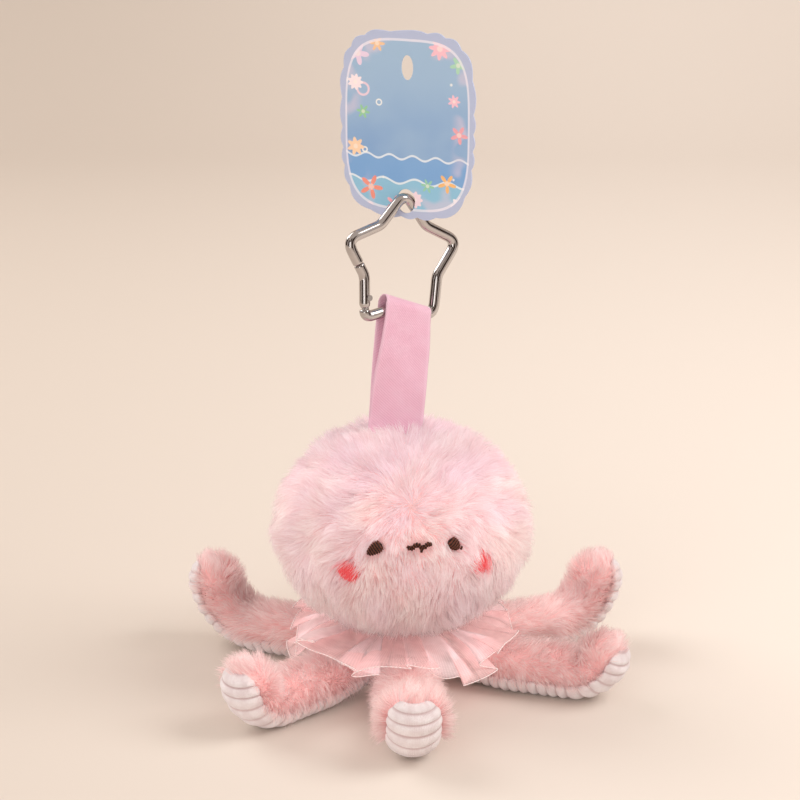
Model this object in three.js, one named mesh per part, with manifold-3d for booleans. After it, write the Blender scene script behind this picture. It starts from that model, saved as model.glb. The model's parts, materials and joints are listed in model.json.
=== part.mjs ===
// A plush octopus bag charm: a stuffed head on six stuffed limbs, a gathered ruffle round the neck, a ribbon loop
// sewn into the crown, a star-shaped spring-gate clip in the loop and a card tag on the clip.
// Millimetres, +Z up. The origin is the middle of the base patch's underside, and the face looks along -Y.
import * as THREE from "three";
import { mergeVertices } from "three/addons/utils/BufferGeometryUtils.js";
import Module from "manifold-3d";

const wasm = await Module();
wasm.setup();

// Clearances
const GAP = 0.3; // between pieces that lie against each other
const RIBBON_SLACK = 0.4; // between the ribbon's crown and the wire in it

// Head and neck
const HEAD_HALF_WIDTH = 44;
const HEAD_HALF_DEPTH = 42;
const HEAD_HALF_HEIGHT = 35;
const NECK_RADIUS = 18;
const NECK_RISE = 3; // from the ruffle's seam up to the underside of the head
const PLUSH_THICKNESS = 2;
const BASE_THICKNESS = 1.5;

// Face, stitched on the front panel; angles are bearings round the head from -Y towards +X
const FACE_TURN = 7;
const EYE_BEARING = 18.5;
const EYE_RISE = 7.4; // above the head's middle
const EYE_HALF_WIDTH = 2.7;
const EYE_HALF_HEIGHT = 2.4;
const EYE_TILT = 20; // outer end down
const CHEEK_BEARING = 33;
const CHEEK_RISE = -2.4;
const CHEEK_HALF_WIDTH = 4.6;
const CHEEK_HALF_HEIGHT = 4.1;
const STITCH_HEIGHT = 0.8; // how far a patch of stitches stands up in its middle
const STITCH_EDGE = 0.35; // and at its edge
const MOUTH_BEARING = 1;
const MOUTH_RISE = 7.8;
const MOUTH_HALF_WIDTH = 4.4;
const MOUTH_DROP = 1.1;
const MOUTH_RADIUS = 0.6;

// Ruffle
const RUFFLE_REACH = 42; // radius of the hem
const RUFFLE_THICKNESS = 0.6;
const RUFFLE_NECK_RISE = 1.5; // from where it lies over the limbs up to its seam on the neck
const RUFFLE_CLEARANCE = 1; // from the limbs' highest line to the trough of a pleat
const RUFFLE_DROP = 9; // how far the hem hangs between two limbs
const RUFFLE_LIE = 7; // half width of the strip that lies flat over a limb
const PLEATS = 28;
const PLEAT_HEIGHT = 1.6;

// Limbs: each hangs on a hinge line across its root
const HINGE_RADIUS = 27; // from the neck's axis
const LIMB_ROOT_RADIUS = 8.5;
const LIMB_HALF_WIDTH = 10.8;
const LIMB_HALF_HEIGHT = 10;
const LIMB_SWELL_LENGTH = 16; // over which the root swells to the full section
const SOLE_FLAT = 0.5; // depth of the flat that the limb stands on
const SOLE_THICKNESS = 2;
const SEAM_ANGLE = 20; // how far below the widest line the sole's seam runs
// Each limb's run is straight from the hinge to its bend, and the bend's radius is taken at its middle line.
const FRONT_RUN = 39;
const FRONT_BEND = 12;
const FRONT_RIGHT_RUN = 38.5;
const FRONT_RIGHT_BEND = 14;
const BACK_RIGHT_RUN = 36;
const BACK_RIGHT_BEND = 20;
const BACK_RUN = 31;
const BACK_BEND = 16;
const BACK_LEFT_RUN = 32;
const BACK_LEFT_BEND = 20;
const FRONT_LEFT_RUN = 36;
const FRONT_LEFT_BEND = 13;
// heading: bearing from +X towards +Y; curl: angle that the toe turns up
const LIMBS = [
  { name: "front", heading: -87, straight: FRONT_RUN, bend: FRONT_BEND, curl: 78 },
  { name: "front_right", heading: -18, straight: FRONT_RIGHT_RUN, bend: FRONT_RIGHT_BEND, curl: 60 },
  { name: "back_right", heading: 24, straight: BACK_RIGHT_RUN, bend: BACK_RIGHT_BEND, curl: 78 },
  { name: "back", heading: 91, straight: BACK_RUN, bend: BACK_BEND, curl: 75 },
  { name: "back_left", heading: 157, straight: BACK_LEFT_RUN, bend: BACK_LEFT_BEND, curl: 79 },
  { name: "front_left", heading: 224, straight: FRONT_LEFT_RUN, bend: FRONT_LEFT_BEND, curl: 74 },
];

// Ribbon loop
const RIBBON_WIDTH = 20;
const RIBBON_THICKNESS = 0.7;
const RIBBON_ROOT_X = -2.6; // where the ribbon is sewn into the crown
const RIBBON_ALONG_BAR = 2.3; // from the star's notch to the ribbon's middle, along the bar
const RIBBON_END = 0.5; // from the hinge line down to the ribbon's sewn end
const RIBBON_LENGTH = 46.2; // from its foot to the middle of the wire in it
const RIBBON_SLANT = 2.1; // of its run from the star's own upright, to the right
const RIBBON_OPENING = 0.82; // share of its run over which its two layers part to the wire's width

// Clip
const STAR_TURN = 32.5; // about the vertical, left side towards the viewer
const STAR_LEAN = 7.6; // top away from the viewer
const STAR_ROLL = 8; // right side down
const STAR_TIP_RADIUS = 25;
const STAR_NOTCH_RADIUS = 16.4;
const WIRE_RADIUS = 2;
const TIP_BEND = 3.2;
const NOTCH_BEND = 4;
const WIRE_STEP = 2;
const WIRE_SIDES = 10;

// Gate: places along the star's left side
const GATE_NOSE_SHARE = 0.66; // of the way from the left tip to the notch below it
const PIN_BELOW_NOTCH = 7.9; // down the side from the left notch
const PIN_INSET = 0.7; // from the wire's axis towards the inside of the star
const PIN_RADIUS = 0.6;
const PIN_HEAD_RADIUS = 1.1;
const PIN_HEAD_THICKNESS = 0.4;
const GATE_HEEL = 4; // from the pin down to the gate's rounded end
const HEEL_CLEARANCE = 0.4;
const TONGUE_THICKNESS = 1.5;
const TONGUE_HEAD = 1.8; // radius of the tongue's end round the pin
const GATE_WEB = 0.9; // the wall that the gate's slot leaves on the outside of the star
const TONGUE_ROOT = 1; // how deep the tongue's shank is set into the frame
const SLOT_TOP = 2.6; // from the pin up to the slot's end
const SPRING_TURNS = 4.5;
const SPRING_PITCH = 0.85;
const SPRING_RADIUS = 0.75;
const SPRING_WIRE_RADIUS = 0.18;
const SPRING_SIDES = 5;
const SPRING_STEPS_PER_TURN = 8;

// Tag
const TAG_WIDTH = 53.5;
const TAG_HEIGHT = 68.8;
const TAG_THICKNESS = 0.8;
const TAG_TURN = -22;
const TAG_BELOW_TIP = 9.6; // from the star's top tip down to the card's lower edge
const TAG_ASIDE = 0.9; // from the star's top tip to the card's middle
const TAG_TAPER = 0.05; // share of its width that the card loses at its lower edge
const TAG_SQUARENESS = 3.6; // exponent of the outline's superellipse
const TAG_LOBES = 22;
const TAG_LOBE_HEIGHT = 0.9;
const TAG_HOLE_WIDTH = 7;
const TAG_HOLE_HEIGHT = 9;
const TAG_HOLE_DROP = 3; // from the star's top tip down to the hole's middle
const TAG_HOLE_ASIDE = 0.5; // and aside to it
const TAG_PEG_HOLE_WIDTH = 3.8;
const TAG_PEG_HOLE_HEIGHT = 7.6;
const TAG_PEG_HOLE_BELOW_TOP = 13.5;

// Faceting
const HEAD_COLUMNS = 12; // in each half
const BALL_ROWS = 9;
const LIMB_UPPER_COLUMNS = 8;
const LIMB_SOLE_COLUMNS = 5;
const LIMB_FILLING_COLUMNS = 10;
const LIMB_ROOT_ROWS = 2;
const LIMB_SWELL_ROWS = 2;
const LIMB_BEND_ROWS = 4;
const LIMB_TOE_ROWS = 3;
const PATCH_COLUMNS = 12;
const PATCH_ROWS = 3;
const PLEAT_COLUMNS = 4;
const RUFFLE_ROWS = 2;
const RIBBON_RUN_ROWS = 8;
const RIBBON_CROWN_ROWS = 6;
const LOBE_POINTS = 4;
const ROUND_SEGMENTS = 24;
const TINY = 1e-5;

const COLOURS = {
  plush: 0xf0cfd2,
  sole: 0xf2e9e6,
  organza: 0xf3cdc8,
  stitchBrown: 0x4b2c20,
  stitchCoral: 0xe8706c,
  ribbon: 0xe6b6ca,
  chrome: 0xc9ccd0,
  filling: 0xf4f2ee,
  card: 0xa9c8e8,
};

const radians = THREE.MathUtils.degToRad;
const lerp = THREE.MathUtils.lerp;
const smooth = (t) => THREE.MathUtils.smoothstep(t, 0, 1);

// The unit vector in the floor plane at a bearing from +X towards +Y.
function bearing(angle) {
  return new THREE.Vector3(Math.cos(radians(angle)), Math.sin(radians(angle)), 0);
}

// A material of its own for one piece.
function finish(color, roughness = 0.95, metalness = 0) {
  return new THREE.MeshStandardMaterial({ color, roughness, metalness });
}

// A named mesh of a geometry.
function piece(name, geometry, material) {
  const mesh = new THREE.Mesh(geometry, material);
  mesh.name = name;
  return mesh;
}

// One closed body from triangles of points. A triangle that shrinks to a line is left out, and the faces end up
// outwards.
function bodyFrom(triangles) {
  const kept = triangles.filter(
    ([a, b, c]) => a.distanceTo(b) > TINY && b.distanceTo(c) > TINY && c.distanceTo(a) > TINY,
  );
  const cross = new THREE.Vector3();
  const volume = kept.reduce((sum, [a, b, c]) => sum + a.dot(cross.crossVectors(b, c)) / 6, 0);
  const points = kept.flatMap(([a, b, c]) => (volume > 0 ? [a, b, c] : [a, c, b]));
  const geometry = new THREE.BufferGeometry().setFromPoints(points);
  const merged = mergeVertices(geometry, TINY);
  merged.computeVertexNormals();
  return merged;
}

// The triangles of a patch with a thickness: outer(i, j) and inner(i, j) give its two faces on a grid, and its
// edges are closed. A patch that wraps closes on itself from its last column to its first.
function thickPatch(outer, inner, rows, columns, wraps = false) {
  const triangles = [];
  const at = (side, i, j) => side(i, wraps ? j % columns : j);
  const edge = (p, q) => {
    const [a, b] = [at(outer, ...p), at(outer, ...q)];
    const [c, d] = [at(inner, ...p), at(inner, ...q)];
    triangles.push([b, a, c], [b, c, d]);
  };
  for (let i = 0; i < rows; i += 1) {
    for (let j = 0; j < columns; j += 1) {
      const corners = [[i, j], [i + 1, j], [i + 1, j + 1], [i, j + 1]];
      const [a, b, c, d] = corners.map((k) => at(outer, ...k));
      const [e, f, g, h] = corners.map((k) => at(inner, ...k));
      triangles.push([a, b, c], [a, c, d], [e, g, f], [e, h, g]);
    }
    if (!wraps) {
      edge([i, 0], [i + 1, 0]);
      edge([i + 1, columns], [i, columns]);
    }
  }
  for (let j = 0; j < columns; j += 1) {
    edge([0, j + 1], [0, j]);
    edge([rows, j], [rows, j + 1]);
  }
  return triangles;
}

// The triangles of a closed skin on a grid that wraps round its columns. Its first and last rows may be single
// points, or rings, which are closed with a flat face.
function closedSkin(point, rows, columns) {
  const triangles = [];
  for (let i = 0; i < rows; i += 1) {
    for (let j = 0; j < columns; j += 1) {
      const next = (j + 1) % columns;
      const [a, b, c, d] = [point(i, j), point(i + 1, j), point(i + 1, next), point(i, next)];
      triangles.push([a, b, c], [a, c, d]);
    }
  }
  for (let j = 1; j < columns - 1; j += 1) {
    triangles.push([point(0, 0), point(0, j), point(0, j + 1)]);
    triangles.push([point(rows, 0), point(rows, j + 1), point(rows, j)]);
  }
  return triangles;
}

// A solid for cutting and joining, from a closed geometry.
function solidOf(geometry) {
  const bare = geometry.clone();
  bare.deleteAttribute("normal");
  bare.deleteAttribute("uv");
  const merged = mergeVertices(bare, TINY);
  const mesh = new wasm.Mesh({
    numProp: 3,
    vertProperties: merged.attributes.position.array,
    triVerts: new Uint32Array(merged.index.array),
  });
  return new wasm.Manifold(mesh);
}

// The geometry of a cut or joined solid.
function geometryOf(solid) {
  const mesh = solid.getMesh();
  const geometry = new THREE.BufferGeometry();
  geometry.setAttribute("position", new THREE.Float32BufferAttribute(mesh.vertProperties, 3));
  geometry.setIndex(new THREE.Uint32BufferAttribute(mesh.triVerts, 1));
  geometry.computeVertexNormals();
  return geometry;
}

// Heights, from the floor up: the limbs lie on it, the ruffle lies on them, and the head stands on the neck

const LIMB_CENTRE_Z = LIMB_HALF_HEIGHT - SOLE_FLAT;
const RUFFLE_LIE_Z = LIMB_CENTRE_Z + LIMB_HALF_HEIGHT + RUFFLE_CLEARANCE + PLEAT_HEIGHT;
const RUFFLE_NECK_Z = RUFFLE_LIE_Z + RUFFLE_NECK_RISE;
const NECK_SHOULDER_Z = RUFFLE_NECK_Z + RUFFLE_THICKNESS + GAP;
const NECK_ANGLE = Math.PI - Math.asin(NECK_RADIUS / HEAD_HALF_WIDTH);
const HEAD_CENTRE_Z = NECK_SHOULDER_Z + NECK_RISE - HEAD_HALF_HEIGHT * Math.cos(NECK_ANGLE);

// Head cover and filling

const COVER_BOTTOM_Z = BASE_THICKNESS + GAP;
const HEAD_ROWS = BALL_ROWS + 2;
const HEAD_TOP_Z = HEAD_CENTRE_Z + HEAD_HALF_HEIGHT;

// A point of the head and neck, inset from the cover's outer face; row 0 is the crown, turn goes round from +X.
function headPoint(row, turn, inset) {
  const [cos, sin] = [Math.cos(turn), Math.sin(turn)];
  if (row <= BALL_ROWS) {
    const slope = (NECK_ANGLE * row) / BALL_ROWS;
    return new THREE.Vector3(
      (HEAD_HALF_WIDTH - inset) * Math.sin(slope) * cos,
      (HEAD_HALF_DEPTH - inset) * Math.sin(slope) * sin,
      HEAD_CENTRE_Z + (HEAD_HALF_HEIGHT - inset) * Math.cos(slope),
    );
  }
  const radius = NECK_RADIUS - inset;
  const height = row === HEAD_ROWS ? COVER_BOTTOM_Z : NECK_SHOULDER_Z;
  return new THREE.Vector3(radius * cos, radius * sin, height);
}

// Half of the head cover: side -1 is the front, side 1 the back.
function headPanel(side) {
  const shift = new THREE.Vector3(0, (side * GAP) / 2, 0);
  const face = (inset) => (row, column) =>
    headPoint(row, (side * Math.PI * column) / HEAD_COLUMNS, inset).add(shift);
  return bodyFrom(thickPatch(face(0), face(PLUSH_THICKNESS), HEAD_ROWS, HEAD_COLUMNS));
}

function headFilling() {
  const skin = (row, column) => headPoint(row, (2 * Math.PI * column) / HEAD_COLUMNS, PLUSH_THICKNESS + GAP);
  return bodyFrom(closedSkin(skin, HEAD_ROWS, HEAD_COLUMNS));
}

function basePatch() {
  const disc = new THREE.CylinderGeometry(NECK_RADIUS, NECK_RADIUS, BASE_THICKNESS, ROUND_SEGMENTS);
  return disc.rotateX(Math.PI / 2).translate(0, 0, BASE_THICKNESS / 2);
}

// Face

const HEAD_CENTRE = new THREE.Vector3(0, 0, HEAD_CENTRE_Z);
const HEAD_RADII = new THREE.Vector3(HEAD_HALF_WIDTH, HEAD_HALF_DEPTH, HEAD_HALF_HEIGHT);

// A place on the head's outer face, and its outward normal, from any point near it.
function onHead(point) {
  const ray = point.clone().sub(HEAD_CENTRE);
  const surface = ray.divideScalar(ray.clone().divide(HEAD_RADII).length());
  const normal = surface.clone().divide(HEAD_RADII).divide(HEAD_RADII).normalize();
  return { place: surface.add(HEAD_CENTRE), normal };
}

// A place on the front of the head at a bearing from the face's middle and a height above the head's, with its own
// axes.
function faceSpot(angle, rise) {
  const share = Math.sqrt(1 - (rise / HEAD_HALF_HEIGHT) ** 2);
  const turn = radians(FACE_TURN + angle);
  const start = new THREE.Vector3(
    HEAD_HALF_WIDTH * share * Math.sin(turn),
    -HEAD_HALF_DEPTH * share * Math.cos(turn),
    HEAD_CENTRE_Z + rise,
  );
  const { place, normal } = onHead(start);
  const across = new THREE.Vector3(0, 0, 1).cross(normal).normalize();
  const up = normal.clone().cross(across);
  return { place, across, up };
}

// An oval patch of stitches that follows the head. Its tilt turns it in its own plane.
function stitchPatch(angle, rise, halfWidth, halfHeight, tilt = 0) {
  const spot = faceSpot(angle, rise);
  const face = (lift) => (ring, column) => {
    const share = ring / PATCH_ROWS;
    const turn = (2 * Math.PI * column) / PATCH_COLUMNS;
    const flat = new THREE.Vector2(halfWidth * share * Math.cos(turn), halfHeight * share * Math.sin(turn));
    flat.rotateAround(new THREE.Vector2(), radians(tilt));
    const near = spot.place.clone().addScaledVector(spot.across, flat.x).addScaledVector(spot.up, flat.y);
    const { place, normal } = onHead(near);
    return place.addScaledVector(normal, GAP + lift(share));
  };
  const crown = (share) => STITCH_EDGE + (STITCH_HEIGHT - STITCH_EDGE) * Math.sqrt(1 - share * share);
  return bodyFrom(thickPatch(face(crown), face(() => 0), PATCH_ROWS, PATCH_COLUMNS, true));
}

// The mouth: a bar of stitches that dips twice, with a point between the dips.
function mouthBar() {
  const spot = faceSpot(MOUTH_BEARING, MOUTH_RISE);
  const halfSteps = 4;
  const points = [];
  for (let k = -halfSteps; k <= halfSteps; k += 1) {
    const aside = (MOUTH_HALF_WIDTH * k) / halfSteps;
    const dip = -MOUTH_DROP * Math.abs(Math.sin((Math.PI * k) / halfSteps));
    const near = spot.place.clone().addScaledVector(spot.across, aside).addScaledVector(spot.up, dip);
    const { place, normal } = onHead(near);
    points.push(place.addScaledVector(normal, GAP + MOUTH_RADIUS));
  }
  const section = new THREE.Shape().absarc(0, 0, MOUTH_RADIUS, 0, 2 * Math.PI);
  const extrudePath = new THREE.CatmullRomCurve3(points);
  return new THREE.ExtrudeGeometry(section, { steps: 16, extrudePath, curveSegments: 6 });
}

// Limbs

// The rows of a limb along its middle line, in its own plane: distance out from the hinge, height, the direction of
// the line, and the section's half sizes. Both ends are domes that close to a point.
function limbRows(limb, inset) {
  const rows = [];
  const root = LIMB_ROOT_RADIUS - inset;
  for (let k = 0; k < LIMB_ROOT_ROWS; k += 1) {
    const angle = (Math.PI / 2) * (k / LIMB_ROOT_ROWS);
    const size = root * Math.sin(angle);
    rows.push({ out: -root * Math.cos(angle), z: LIMB_CENTRE_Z, slope: 0, w: size, h: size });
  }
  for (let k = 0; k <= LIMB_SWELL_ROWS; k += 1) {
    const share = smooth(k / LIMB_SWELL_ROWS);
    const w = lerp(LIMB_ROOT_RADIUS, LIMB_HALF_WIDTH, share) - inset;
    const h = lerp(LIMB_ROOT_RADIUS, LIMB_HALF_HEIGHT, share) - inset;
    rows.push({ out: (LIMB_SWELL_LENGTH * k) / LIMB_SWELL_ROWS, z: LIMB_CENTRE_Z, slope: 0, w, h });
  }
  const full = { w: LIMB_HALF_WIDTH - inset, h: LIMB_HALF_HEIGHT - inset };
  const curl = radians(limb.curl);
  const along = (slope) => ({
    out: limb.straight + limb.bend * Math.sin(slope),
    z: LIMB_CENTRE_Z + limb.bend * (1 - Math.cos(slope)),
  });
  for (let k = 0; k <= LIMB_BEND_ROWS; k += 1) {
    const slope = (curl * k) / LIMB_BEND_ROWS;
    rows.push({ ...along(slope), slope, ...full });
  }
  const end = along(curl);
  for (let k = 1; k <= LIMB_TOE_ROWS; k += 1) {
    const angle = (Math.PI / 2) * (k / LIMB_TOE_ROWS);
    const reach = full.h * Math.sin(angle);
    rows.push({
      out: end.out + reach * Math.cos(curl),
      z: end.z + reach * Math.sin(curl),
      slope: curl,
      w: full.w * Math.cos(angle),
      h: full.h * Math.cos(angle),
    });
  }
  return rows;
}

// A point of a limb's section: turn goes round it from its right side over the top. What would reach below the
// floor is flat on it.
function limbPoint(limb, row, turn, lift = 0) {
  const rise = row.h * Math.sin(turn) + lift;
  const out = HINGE_RADIUS + row.out - rise * Math.sin(row.slope);
  const z = Math.max(0, row.z + rise * Math.cos(row.slope));
  const aside = row.w * Math.cos(turn);
  return bearing(limb.heading)
    .multiplyScalar(out)
    .addScaledVector(bearing(limb.heading - 90), aside)
    .setZ(z);
}

// A cover of a limb between two turns of its section, lifted off the seam by half of the clearance.
function limbCover(limb, from, to, columns, thickness, lift) {
  const face = (inset) => {
    const rows = limbRows(limb, inset);
    return (i, j) => limbPoint(limb, rows[i], radians(lerp(from, to, j / columns)), lift);
  };
  const rowCount = limbRows(limb, 0).length - 1;
  return bodyFrom(thickPatch(face(0), face(thickness), rowCount, columns));
}

function limbUpper(limb) {
  return limbCover(limb, -SEAM_ANGLE, 180 + SEAM_ANGLE, LIMB_UPPER_COLUMNS, PLUSH_THICKNESS, GAP / 2);
}

function limbSole(limb) {
  return limbCover(limb, 180 + SEAM_ANGLE, 360 - SEAM_ANGLE, LIMB_SOLE_COLUMNS, SOLE_THICKNESS, -GAP / 2);
}

function limbFilling(limb) {
  const inset = Math.max(PLUSH_THICKNESS, SOLE_THICKNESS) + 1.5 * GAP;
  const rows = limbRows(limb, inset);
  const skin = (i, j) => limbPoint(limb, rows[i], (2 * Math.PI * j) / LIMB_FILLING_COLUMNS);
  return bodyFrom(closedSkin(skin, rows.length - 1, LIMB_FILLING_COLUMNS));
}

// Ruffle

const RUFFLE_ROOT = NECK_RADIUS + GAP;

// How far a place at a bearing and radius lies from the middle line of the nearest limb.
function asideOfLimb(angle, radius) {
  const offsets = LIMBS.map((limb) => {
    const between = Math.abs(THREE.MathUtils.euclideanModulo(angle - limb.heading + 180, 360) - 180);
    return radius * Math.sin(radians(Math.min(between, 90)));
  });
  return Math.min(...offsets);
}

// The ruffle's lower face: it leaves the neck, lies over the limbs and hangs between them, in pleats that deepen
// towards the hem.
function rufflePoint(row, column, lift) {
  const share = row / RUFFLE_ROWS;
  const angle = (360 * column) / (PLEATS * PLEAT_COLUMNS);
  const radius = lerp(RUFFLE_ROOT, RUFFLE_REACH, share);
  const hang = smooth((asideOfLimb(angle, radius) - RUFFLE_LIE) / LIMB_HALF_WIDTH);
  const pleat = PLEAT_HEIGHT * share * Math.sin((2 * Math.PI * column) / PLEAT_COLUMNS);
  const z = lerp(RUFFLE_NECK_Z, RUFFLE_LIE_Z, smooth(share * 2)) - RUFFLE_DROP * hang * share * share + pleat;
  return bearing(angle).multiplyScalar(radius).setZ(z + lift);
}

function ruffle() {
  const face = (lift) => (row, column) => rufflePoint(row, column, lift);
  return bodyFrom(thickPatch(face(RUFFLE_THICKNESS), face(0), RUFFLE_ROWS, PLEATS * PLEAT_COLUMNS, true));
}

// Star: its corners, in the clip's own plane (x across, z up), from the top tip round over the left side

// Corner k of the star; even ones are tips, odd ones notches, and both go round against the clock.
function starCorner(k) {
  const radius = k % 2 === 0 ? STAR_TIP_RADIUS : STAR_NOTCH_RADIUS;
  const angle = radians(90 + (360 * k) / STAR_CORNERS);
  return new THREE.Vector3(radius * Math.cos(angle), 0, radius * Math.sin(angle));
}

const STAR_CORNERS = 10;
const [TOP_TIP, LEFT_TIP, LEFT_NOTCH, LOWER_LEFT_TIP, BOTTOM_NOTCH, LOWER_RIGHT_TIP] = [0, 2, 3, 4, 5, 6];

// A path through corners, each rounded by its bend.
function bentPath(corners) {
  const path = new THREE.CurvePath();
  let from = corners[0].at;
  for (let k = 1; k < corners.length - 1; k += 1) {
    const { at, bend } = corners[k];
    const back = corners[k - 1].at.clone().sub(at).normalize();
    const ahead = corners[k + 1].at.clone().sub(at).normalize();
    const setback = bend / Math.tan(back.angleTo(ahead) / 2);
    const start = at.clone().addScaledVector(back, setback);
    const end = at.clone().addScaledVector(ahead, setback);
    path.add(new THREE.LineCurve3(from, start));
    path.add(new THREE.QuadraticBezierCurve3(start, at, end));
    from = end;
  }
  path.add(new THREE.LineCurve3(from, corners.at(-1).at));
  return path;
}

// A round bar along a path.
function wireAlong(extrudePath, radius, sides, step) {
  const section = new THREE.Shape();
  for (let k = 0; k < sides; k += 1) {
    const angle = (2 * Math.PI * k) / sides;
    const corner = [radius * Math.cos(angle), radius * Math.sin(angle)];
    if (k === 0) section.moveTo(...corner);
    else section.lineTo(...corner);
  }
  const steps = Math.max(1, Math.round(extrudePath.getLength() / step));
  return new THREE.ExtrudeGeometry(section, { steps, extrudePath });
}

// A round bar across the clip's plane, for pins and their holes.
function crossBar(centre, radius, length) {
  const bar = new THREE.CylinderGeometry(radius, radius, length, ROUND_SEGMENTS);
  return bar.translate(...centre.toArray());
}

// A block in the clip's plane that runs along the lower left side of the star, with its middle at a place.
function sideBlock(middle, across, thickness, along) {
  const block = new THREE.BoxGeometry(across, thickness, along);
  return block.rotateY(SIDE_LEAN).translate(...middle.toArray());
}

const SIDE_TOP = starCorner(LEFT_NOTCH);
const SIDE_BOTTOM = starCorner(LOWER_LEFT_TIP);
const SIDE_DOWN = SIDE_BOTTOM.clone().sub(SIDE_TOP).normalize();
const SIDE_IN = new THREE.Vector3(-SIDE_DOWN.z, 0, SIDE_DOWN.x);
const SIDE_LEAN = Math.atan2(-SIDE_DOWN.x, -SIDE_DOWN.z);

// A place beside the lower left side: down from the pin along the side, and in from the wire's axis.
function besideSide(down, inwards) {
  return SIDE_TOP.clone().addScaledVector(SIDE_DOWN, PIN_BELOW_NOTCH + down).addScaledVector(SIDE_IN, inwards);
}

const PIN_CENTRE = besideSide(0, PIN_INSET);
const NOSE_END = starCorner(LEFT_TIP).lerp(starCorner(LEFT_NOTCH), GATE_NOSE_SHARE);
const GATE_END = starCorner(LEFT_TIP).lerp(
  starCorner(LEFT_NOTCH),
  GATE_NOSE_SHARE + GAP / starCorner(LEFT_TIP).distanceTo(starCorner(LEFT_NOTCH)),
);

// The frame: one wire from its nose at the gate's free end, over the top and round to its hinge tongue.
function clipFrame() {
  const corners = [{ at: NOSE_END }];
  for (let k = LEFT_TIP; k >= LOWER_LEFT_TIP - STAR_CORNERS; k -= 1) {
    corners.push({ at: starCorner(k), bend: k % 2 === 0 ? TIP_BEND : NOTCH_BEND });
  }
  corners.push({ at: besideSide(GATE_HEEL + HEEL_CLEARANCE, 0) });
  const wire = solidOf(wireAlong(bentPath(corners), WIRE_RADIUS, WIRE_SIDES, WIRE_STEP));
  const outer = WIRE_RADIUS - GATE_WEB - GAP;
  const inner = PIN_INSET + TONGUE_ROOT;
  const length = GATE_HEEL + HEEL_CLEARANCE + TONGUE_ROOT;
  const shank = sideBlock(besideSide(length / 2, (inner - outer) / 2), outer + inner, TONGUE_THICKNESS, length);
  const head = crossBar(PIN_CENTRE, TONGUE_HEAD, TONGUE_THICKNESS);
  const room = sideBlock(besideSide(0, -outer - WIRE_RADIUS), 2 * WIRE_RADIUS, 2 * WIRE_RADIUS, 2 * GATE_HEEL);
  const hole = crossBar(PIN_CENTRE, PIN_RADIUS + GAP, 2 * TONGUE_THICKNESS);
  const tongue = solidOf(shank).add(solidOf(head)).subtract(solidOf(room));
  return geometryOf(wire.add(tongue).subtract(solidOf(hole)));
}

// The gate: a bent bar, slotted over the tongue from the inside of the star, with a bore for its spring.
function clipGate() {
  const path = bentPath([
    { at: GATE_END },
    { at: SIDE_TOP, bend: NOTCH_BEND },
    { at: besideSide(GATE_HEEL, 0) },
  ]);
  const bar = solidOf(wireAlong(path, WIRE_RADIUS, WIRE_SIDES, WIRE_STEP));
  const room = 2 * STAR_TIP_RADIUS;
  const above = solidOf(sideBlock(besideSide(-room / 2, 0), room, room, room));
  const heel = solidOf(crossBar(besideSide(0, 0), GATE_HEEL, room));
  const slotLength = SLOT_TOP + 2 * GATE_HEEL;
  const slot = sideBlock(
    besideSide(slotLength / 2 - SLOT_TOP, GATE_WEB),
    2 * WIRE_RADIUS,
    TONGUE_THICKNESS + 2 * GAP,
    slotLength,
  );
  const hole = crossBar(PIN_CENTRE, PIN_RADIUS + GAP, room);
  const boreRadius = SPRING_RADIUS + SPRING_WIRE_RADIUS + GAP;
  const boreLength = SPRING_TURNS * SPRING_PITCH + 2 * SPRING_WIRE_RADIUS + GAP;
  const bore = new THREE.CylinderGeometry(boreRadius, boreRadius, boreLength, ROUND_SEGMENTS);
  bore.rotateX(Math.PI / 2).rotateY(SIDE_LEAN);
  bore.translate(...besideSide(-SLOT_TOP - boreLength / 2 + TINY, 0).toArray());
  return geometryOf(
    bar
      .intersect(above.add(heel))
      .subtract(solidOf(slot))
      .subtract(solidOf(hole))
      .subtract(solidOf(bore)),
  );
}

// The pin: a rivet through the gate's cheeks and the frame's tongue.
function gatePin() {
  const shank = WIRE_RADIUS + GAP;
  const end = shank + PIN_HEAD_THICKNESS;
  const profile = [
    [0, -end],
    [PIN_HEAD_RADIUS, -end],
    [PIN_HEAD_RADIUS, -shank],
    [PIN_RADIUS, -shank],
    [PIN_RADIUS, shank],
    [PIN_HEAD_RADIUS, shank],
    [PIN_HEAD_RADIUS, end],
    [0, end],
  ].map(([radius, y]) => new THREE.Vector2(radius, y));
  return new THREE.LatheGeometry(profile, ROUND_SEGMENTS / 2).translate(...PIN_CENTRE.toArray());
}

// A helix that rises along +Z from the origin.
class Helix extends THREE.Curve {
  getPoint(t, target = new THREE.Vector3()) {
    const angle = 2 * Math.PI * SPRING_TURNS * t;
    const height = SPRING_PITCH * SPRING_TURNS * t;
    return target.set(SPRING_RADIUS * Math.cos(angle), SPRING_RADIUS * Math.sin(angle), height);
  }
}

function gateSpring() {
  const helix = new Helix();
  const length = helix.getLength();
  const steps = SPRING_TURNS * SPRING_STEPS_PER_TURN;
  const coil = wireAlong(helix, SPRING_WIRE_RADIUS, SPRING_SIDES, length / steps);
  coil.rotateY(SIDE_LEAN);
  const start = besideSide(-SLOT_TOP - SPRING_WIRE_RADIUS, 0);
  return coil.translate(...start.toArray());
}

// The least gap between the spring's turns, measured on points of its middle line.
function springGap() {
  const points = new Helix().getPoints(SPRING_TURNS * 4 * SPRING_STEPS_PER_TURN);
  const turn = 4 * SPRING_STEPS_PER_TURN;
  let least = Infinity;
  points.forEach((point, k) => {
    for (let m = k + turn / 2; m < points.length; m += 1) least = Math.min(least, point.distanceTo(points[m]));
  });
  return least - 2 * SPRING_WIRE_RADIUS;
}

// Ribbon

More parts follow.
